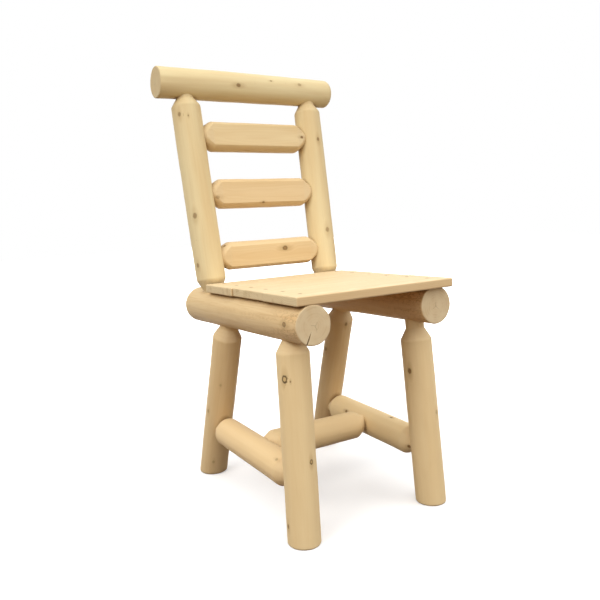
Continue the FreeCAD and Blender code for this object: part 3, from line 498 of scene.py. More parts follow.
    height = add(tree, "ShaderNodeMath", {"operation": "MULTIPLY_ADD"},
                 {0: fibres.outputs["Fac"], 1: 0.6, 2: late_wood})
    bump = add(tree, "ShaderNodeBump", None, {"Height": height, "Strength": 0.3, "Distance": 0.2 * MM})
    rough = add(tree, "ShaderNodeMapRange", None,
                {"Value": fibres.outputs["Fac"], "From Min": 0.2, "From Max": 0.8, "To Min": 0.5,
                 "To Max": 0.7})
    # The base colour carries painted shade in the crevices where pieces meet
    tree.links.new(painted_crevice_shade(tree, ended.outputs[2], 0.6), shader.inputs["Base Color"])
    tree.links.new(rough.outputs[0], shader.inputs["Roughness"])
    tree.links.new(bump.outputs[0], shader.inputs["Normal"])
    shader.inputs["IOR"].default_value = 1.5
    shader.inputs["Specular IOR Level"].default_value = 0.2
    return material


def zinc_screw_material():
    """Steel with a thin zinc plating: grey metal with dull spangles."""
    material, tree, shader = new_material("zinc plated steel")
    place = add(tree, "ShaderNodeTexCoord").outputs["Object"]
    spangle = add(tree, "ShaderNodeTexNoise", None,
                  {"Vector": place, "Scale": 1 / (1.5 * MM), "Detail": 2.0})
    shade = add(tree, "ShaderNodeMix", {"data_type": "RGBA"},
                {"Factor": spangle.outputs["Fac"], 6: paint("8E8C86"), 7: paint("C2C0B8")})
    rough = add(tree, "ShaderNodeMapRange", None,
                {"Value": spangle.outputs["Fac"], "To Min": 0.3, "To Max": 0.55})
    tree.links.new(shade.outputs[2], shader.inputs["Base Color"])
    tree.links.new(rough.outputs[0], shader.inputs["Roughness"])
    shader.inputs["Metallic"].default_value = 1.0
    return material


# Logs, measured on their solids

# A face on the side of a log leans along the axis by less than this share
SQUARE_SHARE = 0.1
# Faces farther than this from the fitted cone are left out of the next fit
FIT_BANDS = (14 * MM, 6 * MM, 2 * MM, 0.6 * MM, 0.3 * MM)
# A planed face has at least this area, is looked for among so many faces, and faces one way by this share
PLANED_AREA = 2500 * MM ** 2
PLANED_TRIES = 12
ONE_PLANE_SHARE = 0.99995
# A level in metres that no log reaches, for one that isn't planed
NO_PLANED_FACE = 1.0


def solid_arrays(name):
    """Corner places and triangles of a solid."""
    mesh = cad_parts[name].data
    mesh.calc_loop_triangles()
    corners = np.array([vertex.co for vertex in mesh.vertices])
    triangles = np.array([triangle.vertices for triangle in mesh.loop_triangles])
    return corners, triangles


def measure_log(name):
    """The axis of a log, its radius along it and its planed face, from the faces of its solid."""
    corners, triangles = solid_arrays(name)
    first, second, third = (corners[triangles[:, at]] for at in range(3))
    crossed = np.cross(second - first, third - first)
    doubled = np.linalg.norm(crossed, axis=1)
    area = doubled / 2
    normal = crossed / np.maximum(doubled, 1e-12)[:, None]
    middle = (first + second + third) / 3
    # The faces of a round log are square to its axis
    along = np.linalg.eigh((normal * area[:, None]).T @ normal)[1][:, 0]
    side = np.abs(normal @ along) < SQUARE_SHARE
    along = np.linalg.eigh((normal[side] * area[side, None]).T @ normal[side])[1][:, 0]
    if along[np.argmax(np.abs(along))] < 0:
        along = -along
    start = np.average(middle[side], axis=0, weights=area[side])
    # A planed face is the largest run of side faces in one plane
    planed_run = np.zeros(len(area), bool)
    for face in np.argsort(np.where(side, area, 0))[-PLANED_TRIES:]:
        run = side & (normal @ normal[face] > ONE_PLANE_SHARE)
        run &= np.abs((middle - middle[face]) @ normal[face]) < FIT_BANDS[-1]
        if area[run].sum() > max(PLANED_AREA, area[planed_run].sum()):
            planed_run = run
    side &= ~planed_run
    kept = side
    for band in FIT_BANDS:
        front = np.cross(along, np.eye(3)[np.argmin(np.abs(along))])
        front /= np.linalg.norm(front)
        beside = np.cross(along, front)
        station = (middle - start) @ along
        facing = np.stack([normal @ front, normal @ beside], 1)
        ones = np.ones((len(area), 1))
        terms = np.concatenate([facing, facing * station[:, None], ones, station[:, None]], 1)
        reach = np.sum(normal * (middle - start - station[:, None] * along), axis=1)
        weight = np.sqrt(area[kept])
        found = np.linalg.lstsq(terms[kept] * weight[:, None], reach[kept] * weight, rcond=None)[0]
        kept = side & (np.abs(reach - terms @ found) < band)
        start = start + found[0] * front + found[1] * beside
        along = along + found[2] * front + found[3] * beside
        along /= np.linalg.norm(along)
    radius, taper = found[4], found[5]
    if planed_run.any():
        front = np.average(normal[planed_run], axis=0, weights=area[planed_run])
        station = (corners[triangles[planed_run].ravel()] - start) @ along
        depth = (corners[triangles[planed_run].ravel()] - start) @ front
        slope, level = np.polyfit(station, depth, 1)
        planed = (level, slope, station.max())
    else:
        # A round log is turned from the chair's front, or from its top where it runs from front to back
        planed = (NO_PLANED_FACE, 0.0, NO_PLANED_FACE)
        front = np.array((0.0, -1.0, 0.0)) if abs(along[1]) < 0.7 else np.array((0.0, 0.0, 1.0))
    front = front - along * (front @ along)
    front /= np.linalg.norm(front)
    return {"start": start, "along": along, "front": front, "beside": np.cross(along, front),
            "radius": radius, "taper": taper, "planed": planed}


# Rows of points down a log: all along it, at the rims of its ends, over the foot of a leg, and as shares
# of the radius on a sawn end
STATION_STEP = 1.25 * MM
RIM_STEPS = (0.02 * MM, 0.2 * MM, 0.5 * MM, 0.9 * MM, 1.5 * MM, 2.2 * MM, 3.2 * MM)
FOOT_STEP = 0.6 * MM
CAP_SHARES = (0.0, 0.1, 0.22, 0.34, 0.46, 0.58, 0.7, 0.8, 0.88, 0.94)
# Points around a log, and around one with a drying check
SIDES = 96
CHECKED_SIDES = 192
MERGE_REACH = 0.02 * MM
SHARP_ANGLE = math.radians(28)
# Forms of the surface, on a log of the usual radius
USUAL_RADIUS = 31 * MM
LUMP_HEIGHT = 0.5 * MM
STROKE_DEPTH = 0.35 * MM
FOOT_ROUND = 3.5 * MM
# Scales of the lumps and of the knife's strokes, on a circle of radius 1 around the log and on a metre
# along it
LUMPS_AROUND, LUMPS_ALONG = 0.9, 14.0
STROKES_AROUND, STROKES_ALONG = 2.6, 3.0
# Knots rise by this share of their radius, and are longer than wide by one over the second share
KNOT_RISE = 0.1
KNOT_WIDTH_SHARE = 0.78
# A drying check reaches this far to each side, as the sine of half the angle, and opens between these
# distances from the heart
CHECK_WIDTH = 0.026
CHECK_OPENS = (9 * MM, 24 * MM)
# What a log has where nothing else is given: its fibres, no drying check, and bark that doesn't thin out
USUAL_FIBRE = 0.15
NO_CHECK = (0.0, 0.0, 1.0)
ALL_ALONG = 100000
# Knots that the photograph doesn't show: how many, their radii in mm, and how far they stray around the
# log in radians and along it as a share of its length
HIDDEN_KNOTS = 3
HIDDEN_SIZES = (2.5, 5.2)
HIDDEN_STRAY = 1.1
HIDDEN_SHIFT = 0.07
# The grain of each log is this far from that of the one before
SEED_STEP = 7.3


def log_outline(name, log):
    """Radius and station down a log from the middle of one end to the middle of the other, with how far
    each place is cut across the grain, from 0 on the bark side to 1 on a sawn end."""
    corners, triangles = solid_arrays(name)
    place = corners - log["start"]
    station = place @ log["along"]
    beside = np.stack([place @ log["front"], place @ log["beside"]], 1)
    edges = np.concatenate([triangles[:, (0, 1)], triangles[:, (1, 2)], triangles[:, (2, 0)]])
    low, high = station.min(), station.max()
    stations = np.arange(low, high, STATION_STEP)
    stations = np.concatenate([stations, low + np.array(RIM_STEPS), high - np.array(RIM_STEPS)])
    stands = corners[:, 2].min() < FOOT_ROUND
    foot_reach = 0.0
    if stands:
        lean = math.sqrt(1 - log["along"][2] ** 2) / log["along"][2]
        foot_reach = 2 * log["radius"] * lean + FOOT_ROUND * 2
        stations = np.concatenate([stations, np.arange(low, low + foot_reach, FOOT_STEP)])
    stations = np.unique(np.round(stations, 6))
    stations = stations[(stations > low) & (stations < high)]
    radii = []
    from_station, to_station = station[edges[:, 0]], station[edges[:, 1]]
    for at in stations:
        crossing = (from_station - at) * (to_station - at) < 0
        share = (at - from_station[crossing]) / (to_station[crossing] - from_station[crossing])
        cut = beside[edges[crossing, 0]] * (1 - share)[:, None]
        cut = cut + beside[edges[crossing, 1]] * share[:, None]
        radii.append(np.linalg.norm(cut, axis=1).max())
    radii = np.array(radii)
    if stands:
        foot = stations < low + foot_reach
        radii[foot] = log["radius"] + log["taper"] * stations[foot]
    # Shoulders are cut across the grain, the more the steeper they are
    slope = np.abs(np.gradient(radii, stations))
    end_share = np.clip(slope * 0.5, 0, 1)
    low_cap = [(radii[0] * share, stations[0], 1.0) for share in CAP_SHARES]
    high_cap = [(radii[-1] * share, stations[-1], 1.0) for share in reversed(CAP_SHARES)]
    return low_cap + list(zip(radii, stations, end_share)) + high_cap, stands


def peeled_log_tree():
    """Turns a log from its outline, with the lumps, knots, planed face, foot and check of a real one."""
    tree = bpy.data.node_groups.new("peeled log", "GeometryNodeTree")
    sockets = {}
    for label, kind in (
            ("Outline", "Geometry"), ("Knots", "Object"), ("Start", "Vector"), ("Along", "Vector"),
            ("Front", "Vector"), ("Beside", "Vector"), ("Sides", "Int"), ("Planed", "Float"),
            ("Planed Slope", "Float"), ("Planed Reach", "Float"), ("Stands", "Float"),
            ("Foot Round", "Float"),
            ("Bow", "Vector"), ("Middle", "Float"), ("Half Length", "Float"), ("Lump Height", "Float"),
            ("Stroke Depth", "Float"), ("Check Angle", "Float"), ("Check Depth", "Float"),
            ("Check Reach", "Float"), ("Check Station", "Float"), ("Seed", "Float"), ("Tone", "Float"),
            ("Pale", "Float"), ("Bark", "Float"), ("Bark Reach", "Float"), ("Fibre", "Float"),
            ("Wood", "Material")):
        sockets[label] = tree.interface.new_socket(
            name=label, in_out="INPUT", socket_type=f"NodeSocket{kind}")
    tree.interface.new_socket(name="Log", in_out="OUTPUT", socket_type="NodeSocketGeometry")
    given = tree.nodes.new("NodeGroupInput").outputs

    # A grid of rows along the outline and columns around the log
    rows = add(tree, "GeometryNodeAttributeDomainSize", {"component": "MESH"},
               {"Geometry": given["Outline"]}).outputs["Point Count"]
    columns = add(tree, "ShaderNodeMath", {"operation": "ADD"}, {0: given["Sides"], 1: 1})
    grid = add(tree, "GeometryNodeMeshGrid", None,
               {"Size X": 1.0, "Size Y": 1.0, "Vertices X": columns, "Vertices Y": rows})
    place = add(tree, "GeometryNodeInputPosition")
    shifted = add(tree, "ShaderNodeVectorMath", {"operation": "ADD"}, {0: place, 1: (0.5, 0.5, 0)})
    split = add(tree, "ShaderNodeSeparateXYZ", None, {0: shifted})
    turn = add(tree, "ShaderNodeMath", {"operation": "MULTIPLY"}, {0: split.outputs[0], 1: math.tau})
    last_row = add(tree, "ShaderNodeMath", {"operation": "SUBTRACT"}, {0: rows, 1: 1})
    row_at = add(tree, "ShaderNodeMath", {"operation": "MULTIPLY"}, {0: split.outputs[1], 1: last_row})
    row = add(tree, "ShaderNodeMath", {"operation": "ROUND"}, {0: row_at})
    outline = add(tree, "GeometryNodeSampleIndex", {"data_type": "FLOAT_VECTOR", "clamp": True},
                  {"Geometry": given["Outline"], "Value": place, "Index": row})
    end_here = add(tree, "GeometryNodeInputNamedAttribute", {"data_type": "FLOAT"},
                   {"Name": "end_share"})
    end_share = add(tree, "GeometryNodeSampleIndex", {"data_type": "FLOAT", "clamp": True},
                    {"Geometry": given["Outline"], "Value": end_here, "Index": row})
    outline_split = add(tree, "ShaderNodeSeparateXYZ", None, {0: outline})
    radius, station = outline_split.outputs[0], outline_split.outputs[2]
    cosine = add(tree, "ShaderNodeMath", {"operation": "COSINE"}, {0: turn})
    sine = add(tree, "ShaderNodeMath", {"operation": "SINE"}, {0: turn})
    outward = add(tree, "ShaderNodeCombineXYZ", None, {0: cosine, 1: sine})

    # Lumps along the log
    lump_around = add(tree, "ShaderNodeVectorMath", {"operation": "SCALE"},
                      {0: outward, "Scale": LUMPS_AROUND})
    lump_along = add(tree, "ShaderNodeMath", {"operation": "MULTIPLY"}, {0: station, 1: LUMPS_ALONG})
    lump_station = add(tree, "ShaderNodeCombineXYZ", None, {2: lump_along})
    lump_place = add(tree, "ShaderNodeVectorMath", {"operation": "ADD"},
                     {0: lump_around, 1: lump_station})
    lump_noise = add(tree, "ShaderNodeTexNoise", {"noise_dimensions": "4D"},
                     {"Vector": lump_place, "W": given["Seed"], "Scale": 1.0, "Detail": 2.0,
                      "Roughness": 0.45})
    lump = add(tree, "ShaderNodeMapRange", {"clamp": False},
               {"Value": lump_noise.outputs["Fac"], "From Min": 0.25, "From Max": 0.75,
                "To Min": -1.0, "To Max": 1.0})
    lump_share = add(tree, "ShaderNodeMath", {"operation": "DIVIDE"},
                     {0: given["Lump Height"], 1: USUAL_RADIUS})
    lumped = add(tree, "ShaderNodeMath", {"operation": "MULTIPLY_ADD"},
                 {0: lump, 1: lump_share, 2: 1.0})

    # Shallow strokes of the peeling knife along it
    stroke_around = add(tree, "ShaderNodeVectorMath", {"operation": "SCALE"},
                        {0: outward, "Scale": STROKES_AROUND})
    stroke_along = add(tree, "ShaderNodeMath", {"operation": "MULTIPLY"},
                       {0: station, 1: STROKES_ALONG})
    stroke_station = add(tree, "ShaderNodeCombineXYZ", None, {2: stroke_along})
    stroke_place = add(tree, "ShaderNodeVectorMath", {"operation": "ADD"},
                       {0: stroke_around, 1: stroke_station})
    stroke_noise = add(tree, "ShaderNodeTexNoise", {"noise_dimensions": "4D"},
                       {"Vector": stroke_place, "W": given["Seed"], "Scale": 1.0, "Detail": 1.0})
    stroke = add(tree, "ShaderNodeMapRange", {"clamp": False},
                 {"Value": stroke_noise.outputs["Fac"], "From Min": 0.25, "From Max": 0.75,
                  "To Min": -1.0, "To Max": 1.0})
    stroke_share = add(tree, "ShaderNodeMath", {"operation": "DIVIDE"},
                       {0: given["Stroke Depth"], 1: USUAL_RADIUS})
    swelling = add(tree, "ShaderNodeMath", {"operation": "MULTIPLY_ADD"},
                   {0: stroke, 1: stroke_share, 2: lumped})
    lumpy_radius = add(tree, "ShaderNodeMath", {"operation": "MULTIPLY"}, {0: radius, 1: swelling})

    # The nearest knot, as places across it, along it and away from it, in its own radius
    planed_level = add(tree, "ShaderNodeMath", {"operation": "MULTIPLY_ADD"},
                       {0: station, 1: given["Planed Slope"], 2: given["Planed"]})
    past_planed = add(tree, "ShaderNodeMath", {"operation": "GREATER_THAN"},
                      {0: station, 1: given["Planed Reach"]})
    planed = add(tree, "ShaderNodeMath", {"operation": "ADD"}, {0: planed_level, 1: past_planed})
    smooth_across = add(tree, "ShaderNodeMath", {"operation": "MULTIPLY"}, {0: radius, 1: cosine})
    smooth_beside = add(tree, "ShaderNodeMath", {"operation": "MULTIPLY"}, {0: radius, 1: sine})
    smooth_trimmed = add(tree, "ShaderNodeMath", {"operation": "MINIMUM"},
                         {0: smooth_across, 1: planed})
    round_place = add(tree, "ShaderNodeCombineXYZ", None,
                      {0: smooth_trimmed, 1: smooth_beside, 2: station})
    knots = add(tree, "GeometryNodeObjectInfo", None, {"Object": given["Knots"]}).outputs["Geometry"]
    nearest = add(tree, "GeometryNodeSampleNearest", {"domain": "POINT"},
                  {"Geometry": knots, "Sample Position": round_place})
    knot_place = add(tree, "GeometryNodeSampleIndex", {"data_type": "FLOAT_VECTOR"},
                     {"Geometry": knots, "Value": place, "Index": nearest})
    knot_size_here = add(tree, "GeometryNodeInputNamedAttribute", {"data_type": "FLOAT"},
                         {"Name": "knot_size"})
    knot_size = add(tree, "GeometryNodeSampleIndex", {"data_type": "FLOAT"},
                    {"Geometry": knots, "Value": knot_size_here, "Index": nearest})
    knot_look_here = add(tree, "GeometryNodeInputNamedAttribute", {"data_type": "FLOAT"},
                         {"Name": "knot_look"})
    knot_look = add(tree, "GeometryNodeSampleIndex", {"data_type": "FLOAT"},
                    {"Geometry": knots, "Value": knot_look_here, "Index": nearest})
    knot_away = add(tree, "ShaderNodeVectorMath", {"operation": "SUBTRACT"},
                    {0: round_place, 1: knot_place})
    knot_flat = add(tree, "ShaderNodeVectorMath", {"operation": "MULTIPLY"},
                    {0: knot_place, 1: (1, 1, 0)})
    knot_outward = add(tree, "ShaderNodeVectorMath", {"operation": "NORMALIZE"}, {0: knot_flat})
    knot_beside = add(tree, "ShaderNodeVectorMath", {"operation": "CROSS_PRODUCT"},
                      {0: (0, 0, 1), 1: knot_outward})
    knot_across = add(tree, "ShaderNodeVectorMath", {"operation": "DOT_PRODUCT"},
                      {0: knot_away, 1: knot_beside})
    knot_deep = add(tree, "ShaderNodeVectorMath", {"operation": "DOT_PRODUCT"},
                    {0: knot_away, 1: knot_outward})
    knot_along = add(tree, "ShaderNodeSeparateXYZ", None, {0: knot_away})
    knot_length = add(tree, "ShaderNodeMath", {"operation": "MULTIPLY"},
                      {0: knot_along.outputs[2], 1: KNOT_WIDTH_SHARE})
    knot_parts = add(tree, "ShaderNodeCombineXYZ", None,
                     {0: knot_across.outputs["Value"], 1: knot_length, 2: knot_deep.outputs["Value"]})
    knot_scale = add(tree, "ShaderNodeMath", {"operation": "DIVIDE"}, {0: 1.0, 1: knot_size})
    knot = add(tree, "ShaderNodeVectorMath", {"operation": "SCALE"},
               {0: knot_parts, "Scale": knot_scale})
    knot_far = add(tree, "ShaderNodeVectorMath", {"operation": "LENGTH"}, {0: knot})
    knot_rise = add(tree, "ShaderNodeMapRange", {"interpolation_type": "SMOOTHSTEP"},
                    {"Value": knot_far.outputs["Value"], "From Min": 0.3, "From Max": 2.4,
                     "To Min": KNOT_RISE, "To Max": 0.0})
    knotty_radius = add(tree, "ShaderNodeMath", {"operation": "MULTIPLY_ADD"},
                        {0: knot_rise, 1: knot_size, 2: lumpy_radius})

    # A drying check that opens at one end
    check_turn = add(tree, "ShaderNodeMath", {"operation": "SUBTRACT"},
                     {0: turn, 1: given["Check Angle"]})
    check_half = add(tree, "ShaderNodeMath", {"operation": "MULTIPLY"}, {0: check_turn, 1: 0.5})
    check_sine = add(tree, "ShaderNodeMath", {"operation": "SINE"}, {0: check_half})
    check_off = add(tree, "ShaderNodeMath", {"operation": "ABSOLUTE"}, {0: check_sine})
    check_line = add(tree, "ShaderNodeMapRange", None,
                     {"Value": check_off, "From Min": 0.0, "From Max": CHECK_WIDTH, "To Min": 1.0,
                      "To Max": 0.0})
    from_check = add(tree, "ShaderNodeMath", {"operation": "SUBTRACT"},
                     {0: station, 1: given["Check Station"]})
    check_fade = add(tree, "ShaderNodeMapRange", None,
                     {"Value": from_check, "From Min": 0.0, "From Max": given["Check Reach"],
                      "To Min": 1.0, "To Max": 0.0})
    check_out = add(tree, "ShaderNodeMapRange", {"interpolation_type": "SMOOTHSTEP"},
                    {"Value": radius, "From Min": CHECK_OPENS[0], "From Max": CHECK_OPENS[1]})
    check_here = add(tree, "ShaderNodeMath", {"operation": "MULTIPLY"},
                     {0: check_line.outputs[0], 1: check_fade.outputs[0]})
    check_share = add(tree, "ShaderNodeMath", {"operation": "MULTIPLY"}, {0: check_here, 1: check_out})
    has_check = add(tree, "ShaderNodeMath", {"operation": "GREATER_THAN"},
                    {0: given["Check Depth"], 1: 0.0})
    check_seen = add(tree, "ShaderNodeMath", {"operation": "MULTIPLY"}, {0: check_share, 1: has_check})
    check_deep = add(tree, "ShaderNodeMath", {"operation": "MULTIPLY"},
                     {0: check_share, 1: given["Check Depth"]})
    bark_fade = add(tree, "ShaderNodeMapRange", None,
                    {"Value": from_check, "From Min": 0.0, "From Max": given["Bark Reach"],
                     "To Min": 1.0, "To Max": 0.2})
    bark_left = add(tree, "ShaderNodeMath", {"operation": "MULTIPLY"},
                    {0: bark_fade.outputs[0], 1: given["Bark"]})
    checked_radius = add(tree, "ShaderNodeMath", {"operation": "SUBTRACT"},
                         {0: knotty_radius, 1: check_deep})
    check_in = add(tree, "ShaderNodeMath", {"operation": "MULTIPLY"}, {0: check_deep, 1: end_share})
    checked_station = add(tree, "ShaderNodeMath", {"operation": "ADD"}, {0: station, 1: check_in})

    # The planed face
    across = add(tree, "ShaderNodeMath", {"operation": "MULTIPLY"}, {0: checked_radius, 1: cosine})
    beside = add(tree, "ShaderNodeMath", {"operation": "MULTIPLY"}, {0: checked_radius, 1: sine})
    trimmed = add(tree, "ShaderNodeMath", {"operation": "MINIMUM"}, {0: across, 1: planed})
    planed_here = add(tree, "ShaderNodeMath", {"operation": "GREATER_THAN"}, {0: across, 1: planed})
    log_place = add(tree, "ShaderNodeCombineXYZ", None, {0: trimmed, 1: beside, 2: checked_station})

    # Into the chair's frame, with the bow of the log
    on_front = add(tree, "ShaderNodeVectorMath", {"operation": "SCALE"},
                   {0: given["Front"], "Scale": trimmed})
    on_beside = add(tree, "ShaderNodeVectorMath", {"operation": "SCALE"},
                    {0: given["Beside"], "Scale": beside})
    on_along = add(tree, "ShaderNodeVectorMath", {"operation": "SCALE"},
                   {0: given["Along"], "Scale": checked_station})
    from_middle = add(tree, "ShaderNodeMath", {"operation": "SUBTRACT"},
                      {0: station, 1: given["Middle"]})
    bow_share = add(tree, "ShaderNodeMath", {"operation": "DIVIDE"},
                    {0: from_middle, 1: given["Half Length"]})
    bow_square = add(tree, "ShaderNodeMath", {"operation": "MULTIPLY"}, {0: bow_share, 1: bow_share})
    bow_left = add(tree, "ShaderNodeMath", {"operation": "SUBTRACT"}, {0: 1.0, 1: bow_square})
    bowed = add(tree, "ShaderNodeVectorMath", {"operation": "SCALE"},
                {0: given["Bow"], "Scale": bow_left})
    first_sum = add(tree, "ShaderNodeVectorMath", {"operation": "ADD"},
                    {0: given["Start"], 1: on_front})
    second_sum = add(tree, "ShaderNodeVectorMath", {"operation": "ADD"}, {0: on_beside, 1: on_along})
    straight = add(tree, "ShaderNodeVectorMath", {"operation": "ADD"}, {0: first_sum, 1: second_sum})
    chair_place = add(tree, "ShaderNodeVectorMath", {"operation": "ADD"}, {0: straight, 1: bowed})

    # A leg is sawn off level with the floor, with the rim of its foot rounded
    height = add(tree, "ShaderNodeSeparateXYZ", None, {0: chair_place}).outputs[2]
    upright = add(tree, "ShaderNodeSeparateXYZ", None, {0: given["Along"]}).outputs[2]
    above = add(tree, "ShaderNodeMath", {"operation": "DIVIDE"}, {0: height, 1: upright})
    below = add(tree, "ShaderNodeMath", {"operation": "MINIMUM"}, {0: above, 1: 0.0})
    lift = add(tree, "ShaderNodeMath", {"operation": "MULTIPLY"}, {0: below, 1: -1.0})
    lifted = add(tree, "ShaderNodeMath", {"operation": "MULTIPLY"}, {0: lift, 1: given["Stands"]})
    lift_place = add(tree, "ShaderNodeVectorMath", {"operation": "SCALE"},
                     {0: given["Along"], "Scale": lifted})
    rim_share = add(tree, "ShaderNodeMapRange", None,
                    {"Value": above, "From Min": 0.0, "From Max": given["Foot Round"], "To Min": 1.0,
                     "To Max": 0.0})
    rim_square = add(tree, "ShaderNodeMath", {"operation": "MULTIPLY"},
                     {0: rim_share.outputs[0], 1: rim_share.outputs[0]})
    rim_left = add(tree, "ShaderNodeMath", {"operation": "SUBTRACT"}, {0: 1.0, 1: rim_square})
    rim_root = add(tree, "ShaderNodeMath", {"operation": "SQRT"}, {0: rim_left})
    rim_round = add(tree, "ShaderNodeMath", {"operation": "SUBTRACT"}, {0: 1.0, 1: rim_root})
    rim_size = add(tree, "ShaderNodeMath", {"operation": "MULTIPLY"},
                   {0: rim_round, 1: given["Foot Round"]})
    rim_reach = add(tree, "ShaderNodeMath", {"operation": "DIVIDE"}, {0: radius, 1: -USUAL_RADIUS})
    rim_stands = add(tree, "ShaderNodeMath", {"operation": "MULTIPLY"},
                     {0: rim_size, 1: given["Stands"]})
    rim_inward = add(tree, "ShaderNodeMath", {"operation": "MULTIPLY"}, {0: rim_stands, 1: rim_reach})
    rim_front = add(tree, "ShaderNodeVectorMath", {"operation": "SCALE"},
                    {0: given["Front"], "Scale": cosine})
    rim_beside = add(tree, "ShaderNodeVectorMath", {"operation": "SCALE"},
                     {0: given["Beside"], "Scale": sine})
    rim_outward = add(tree, "ShaderNodeVectorMath", {"operation": "ADD"}, {0: rim_front, 1: rim_beside})
    rim_level = add(tree, "ShaderNodeVectorMath", {"operation": "MULTIPLY"},
                    {0: rim_outward, 1: (1, 1, 0)})
    rim_move = add(tree, "ShaderNodeVectorMath", {"operation": "SCALE"},
                   {0: rim_level, "Scale": rim_inward})
    foot_move = add(tree, "ShaderNodeVectorMath", {"operation": "ADD"}, {0: lift_place, 1: rim_move})
    final_place = add(tree, "ShaderNodeVectorMath", {"operation": "ADD"},
                      {0: chair_place, 1: foot_move})
    on_floor = add(tree, "ShaderNodeMath", {"operation": "LESS_THAN"}, {0: above, 1: 0.0})
    foot_end = add(tree, "ShaderNodeMath", {"operation": "MULTIPLY"}, {0: on_floor, 1: given["Stands"]})
    all_ends = add(tree, "ShaderNodeMath", {"operation": "MAXIMUM"}, {0: end_share, 1: foot_end})

    # What the wood reads, kept on the points before they move
    made = grid.outputs["Mesh"]
    for label, kind, value in (("grain", "FLOAT_VECTOR", log_place), ("knot", "FLOAT_VECTOR", knot),
                               ("knot_look", "FLOAT", knot_look), ("planed", "FLOAT", planed_here),
                               ("end_share", "FLOAT", all_ends), ("tone", "FLOAT", given["Tone"]),
                               ("pale", "FLOAT", given["Pale"]), ("check", "FLOAT", check_seen),
                               ("bark", "FLOAT", bark_left), ("seed", "FLOAT", given["Seed"]),
                               ("fibre", "FLOAT", given["Fibre"]),
                               ("final_place", "FLOAT_VECTOR", final_place)):
        made = add(tree, "GeometryNodeStoreNamedAttribute", {"data_type": kind, "domain": "POINT"},
                   {"Geometry": made, "Name": label, "Value": value}).outputs["Geometry"]
    kept_place = add(tree, "GeometryNodeInputNamedAttribute", {"data_type": "FLOAT_VECTOR"},
                     {"Name": "final_place"})
    moved = add(tree, "GeometryNodeSetPosition", None,
                {"Geometry": made, "Position": kept_place.outputs[0]})
    bare = add(tree, "GeometryNodeRemoveAttribute", None, {"Geometry": moved, "Name": "final_place"})
    merged = add(tree, "GeometryNodeMergeByDistance", None, {"Geometry": bare, "Distance": MERGE_REACH})
    smooth = add(tree, "GeometryNodeSetShadeSmooth", None, {"Geometry": merged})
    real = add(tree, "GeometryNodeRealizeInstances", None, {"Geometry": smooth})
    finished = add(tree, "GeometryNodeSetMaterial", None, {"Geometry": real, "Material": given["Wood"]})
    add(tree, "NodeGroupOutput", None, {0: finished})
    return tree, {label: socket.identifier for label, socket in sockets.items()}


def photo_place(name, across, down):
    """Where the line of sight of a pixel meets a log."""
    corners, triangles = solid_arrays(name)
    tree = BVHTree.FromPolygons(corners.tolist(), triangles.tolist())
    sight = look + look_right * ((across - MIDDLE_PIXEL[0]) / FOCAL_PIXELS)
    sight = sight - look_up * ((down - MIDDLE_PIXEL[1]) / FOCAL_PIXELS)
    return tree.ray_cast(EYE, sight.normalized())[0]


def log_knots(name, log, first, last, seed):
    """Place, radius and look of each knot on a log: those in the photograph, and some on the sides that it
    doesn't show."""
    chance = np.random.default_rng(seed)
    knots = []
    for across, down, size, *look_of_knot in LOGS[name]["knots"]:
        place = np.array(photo_place(name, across, down)) - log["start"]
        spot = (place @ log["front"], place @ log["beside"], place @ log["along"])
        knots.append((*spot, size * MM, look_of_knot[0] if look_of_knot else 0.0))
    toward_eye = np.array(EYE) - log["start"]
    eye_turn = math.atan2(toward_eye @ log["beside"], toward_eye @ log["front"])
    for station in np.linspace(first, last, HIDDEN_KNOTS + 2)[1:-1]:
        turn = eye_turn + math.pi + chance.uniform(-HIDDEN_STRAY, HIDDEN_STRAY)
        at = station + chance.uniform(-HIDDEN_SHIFT, HIDDEN_SHIFT) * (last - first)
        reach = log["radius"] + log["taper"] * at
        size = chance.uniform(*HIDDEN_SIZES) * MM
        knots.append((reach * math.cos(turn), reach * math.sin(turn), at, size, 0.0))
    return knots


def point_object(name, places, edges, **numbers):
    """An object of points and edges, with a number on each point under each name given."""
    mesh = bpy.data.meshes.new(name)
    mesh.from_pydata(places, edges, [])
    for label, values in numbers.items():
        mesh.attributes.new(label, "FLOAT", "POINT").data.foreach_set("value", values)
    made = bpy.data.objects.new(name, mesh)
    bpy.context.scene.collection.objects.link(made)
    return made


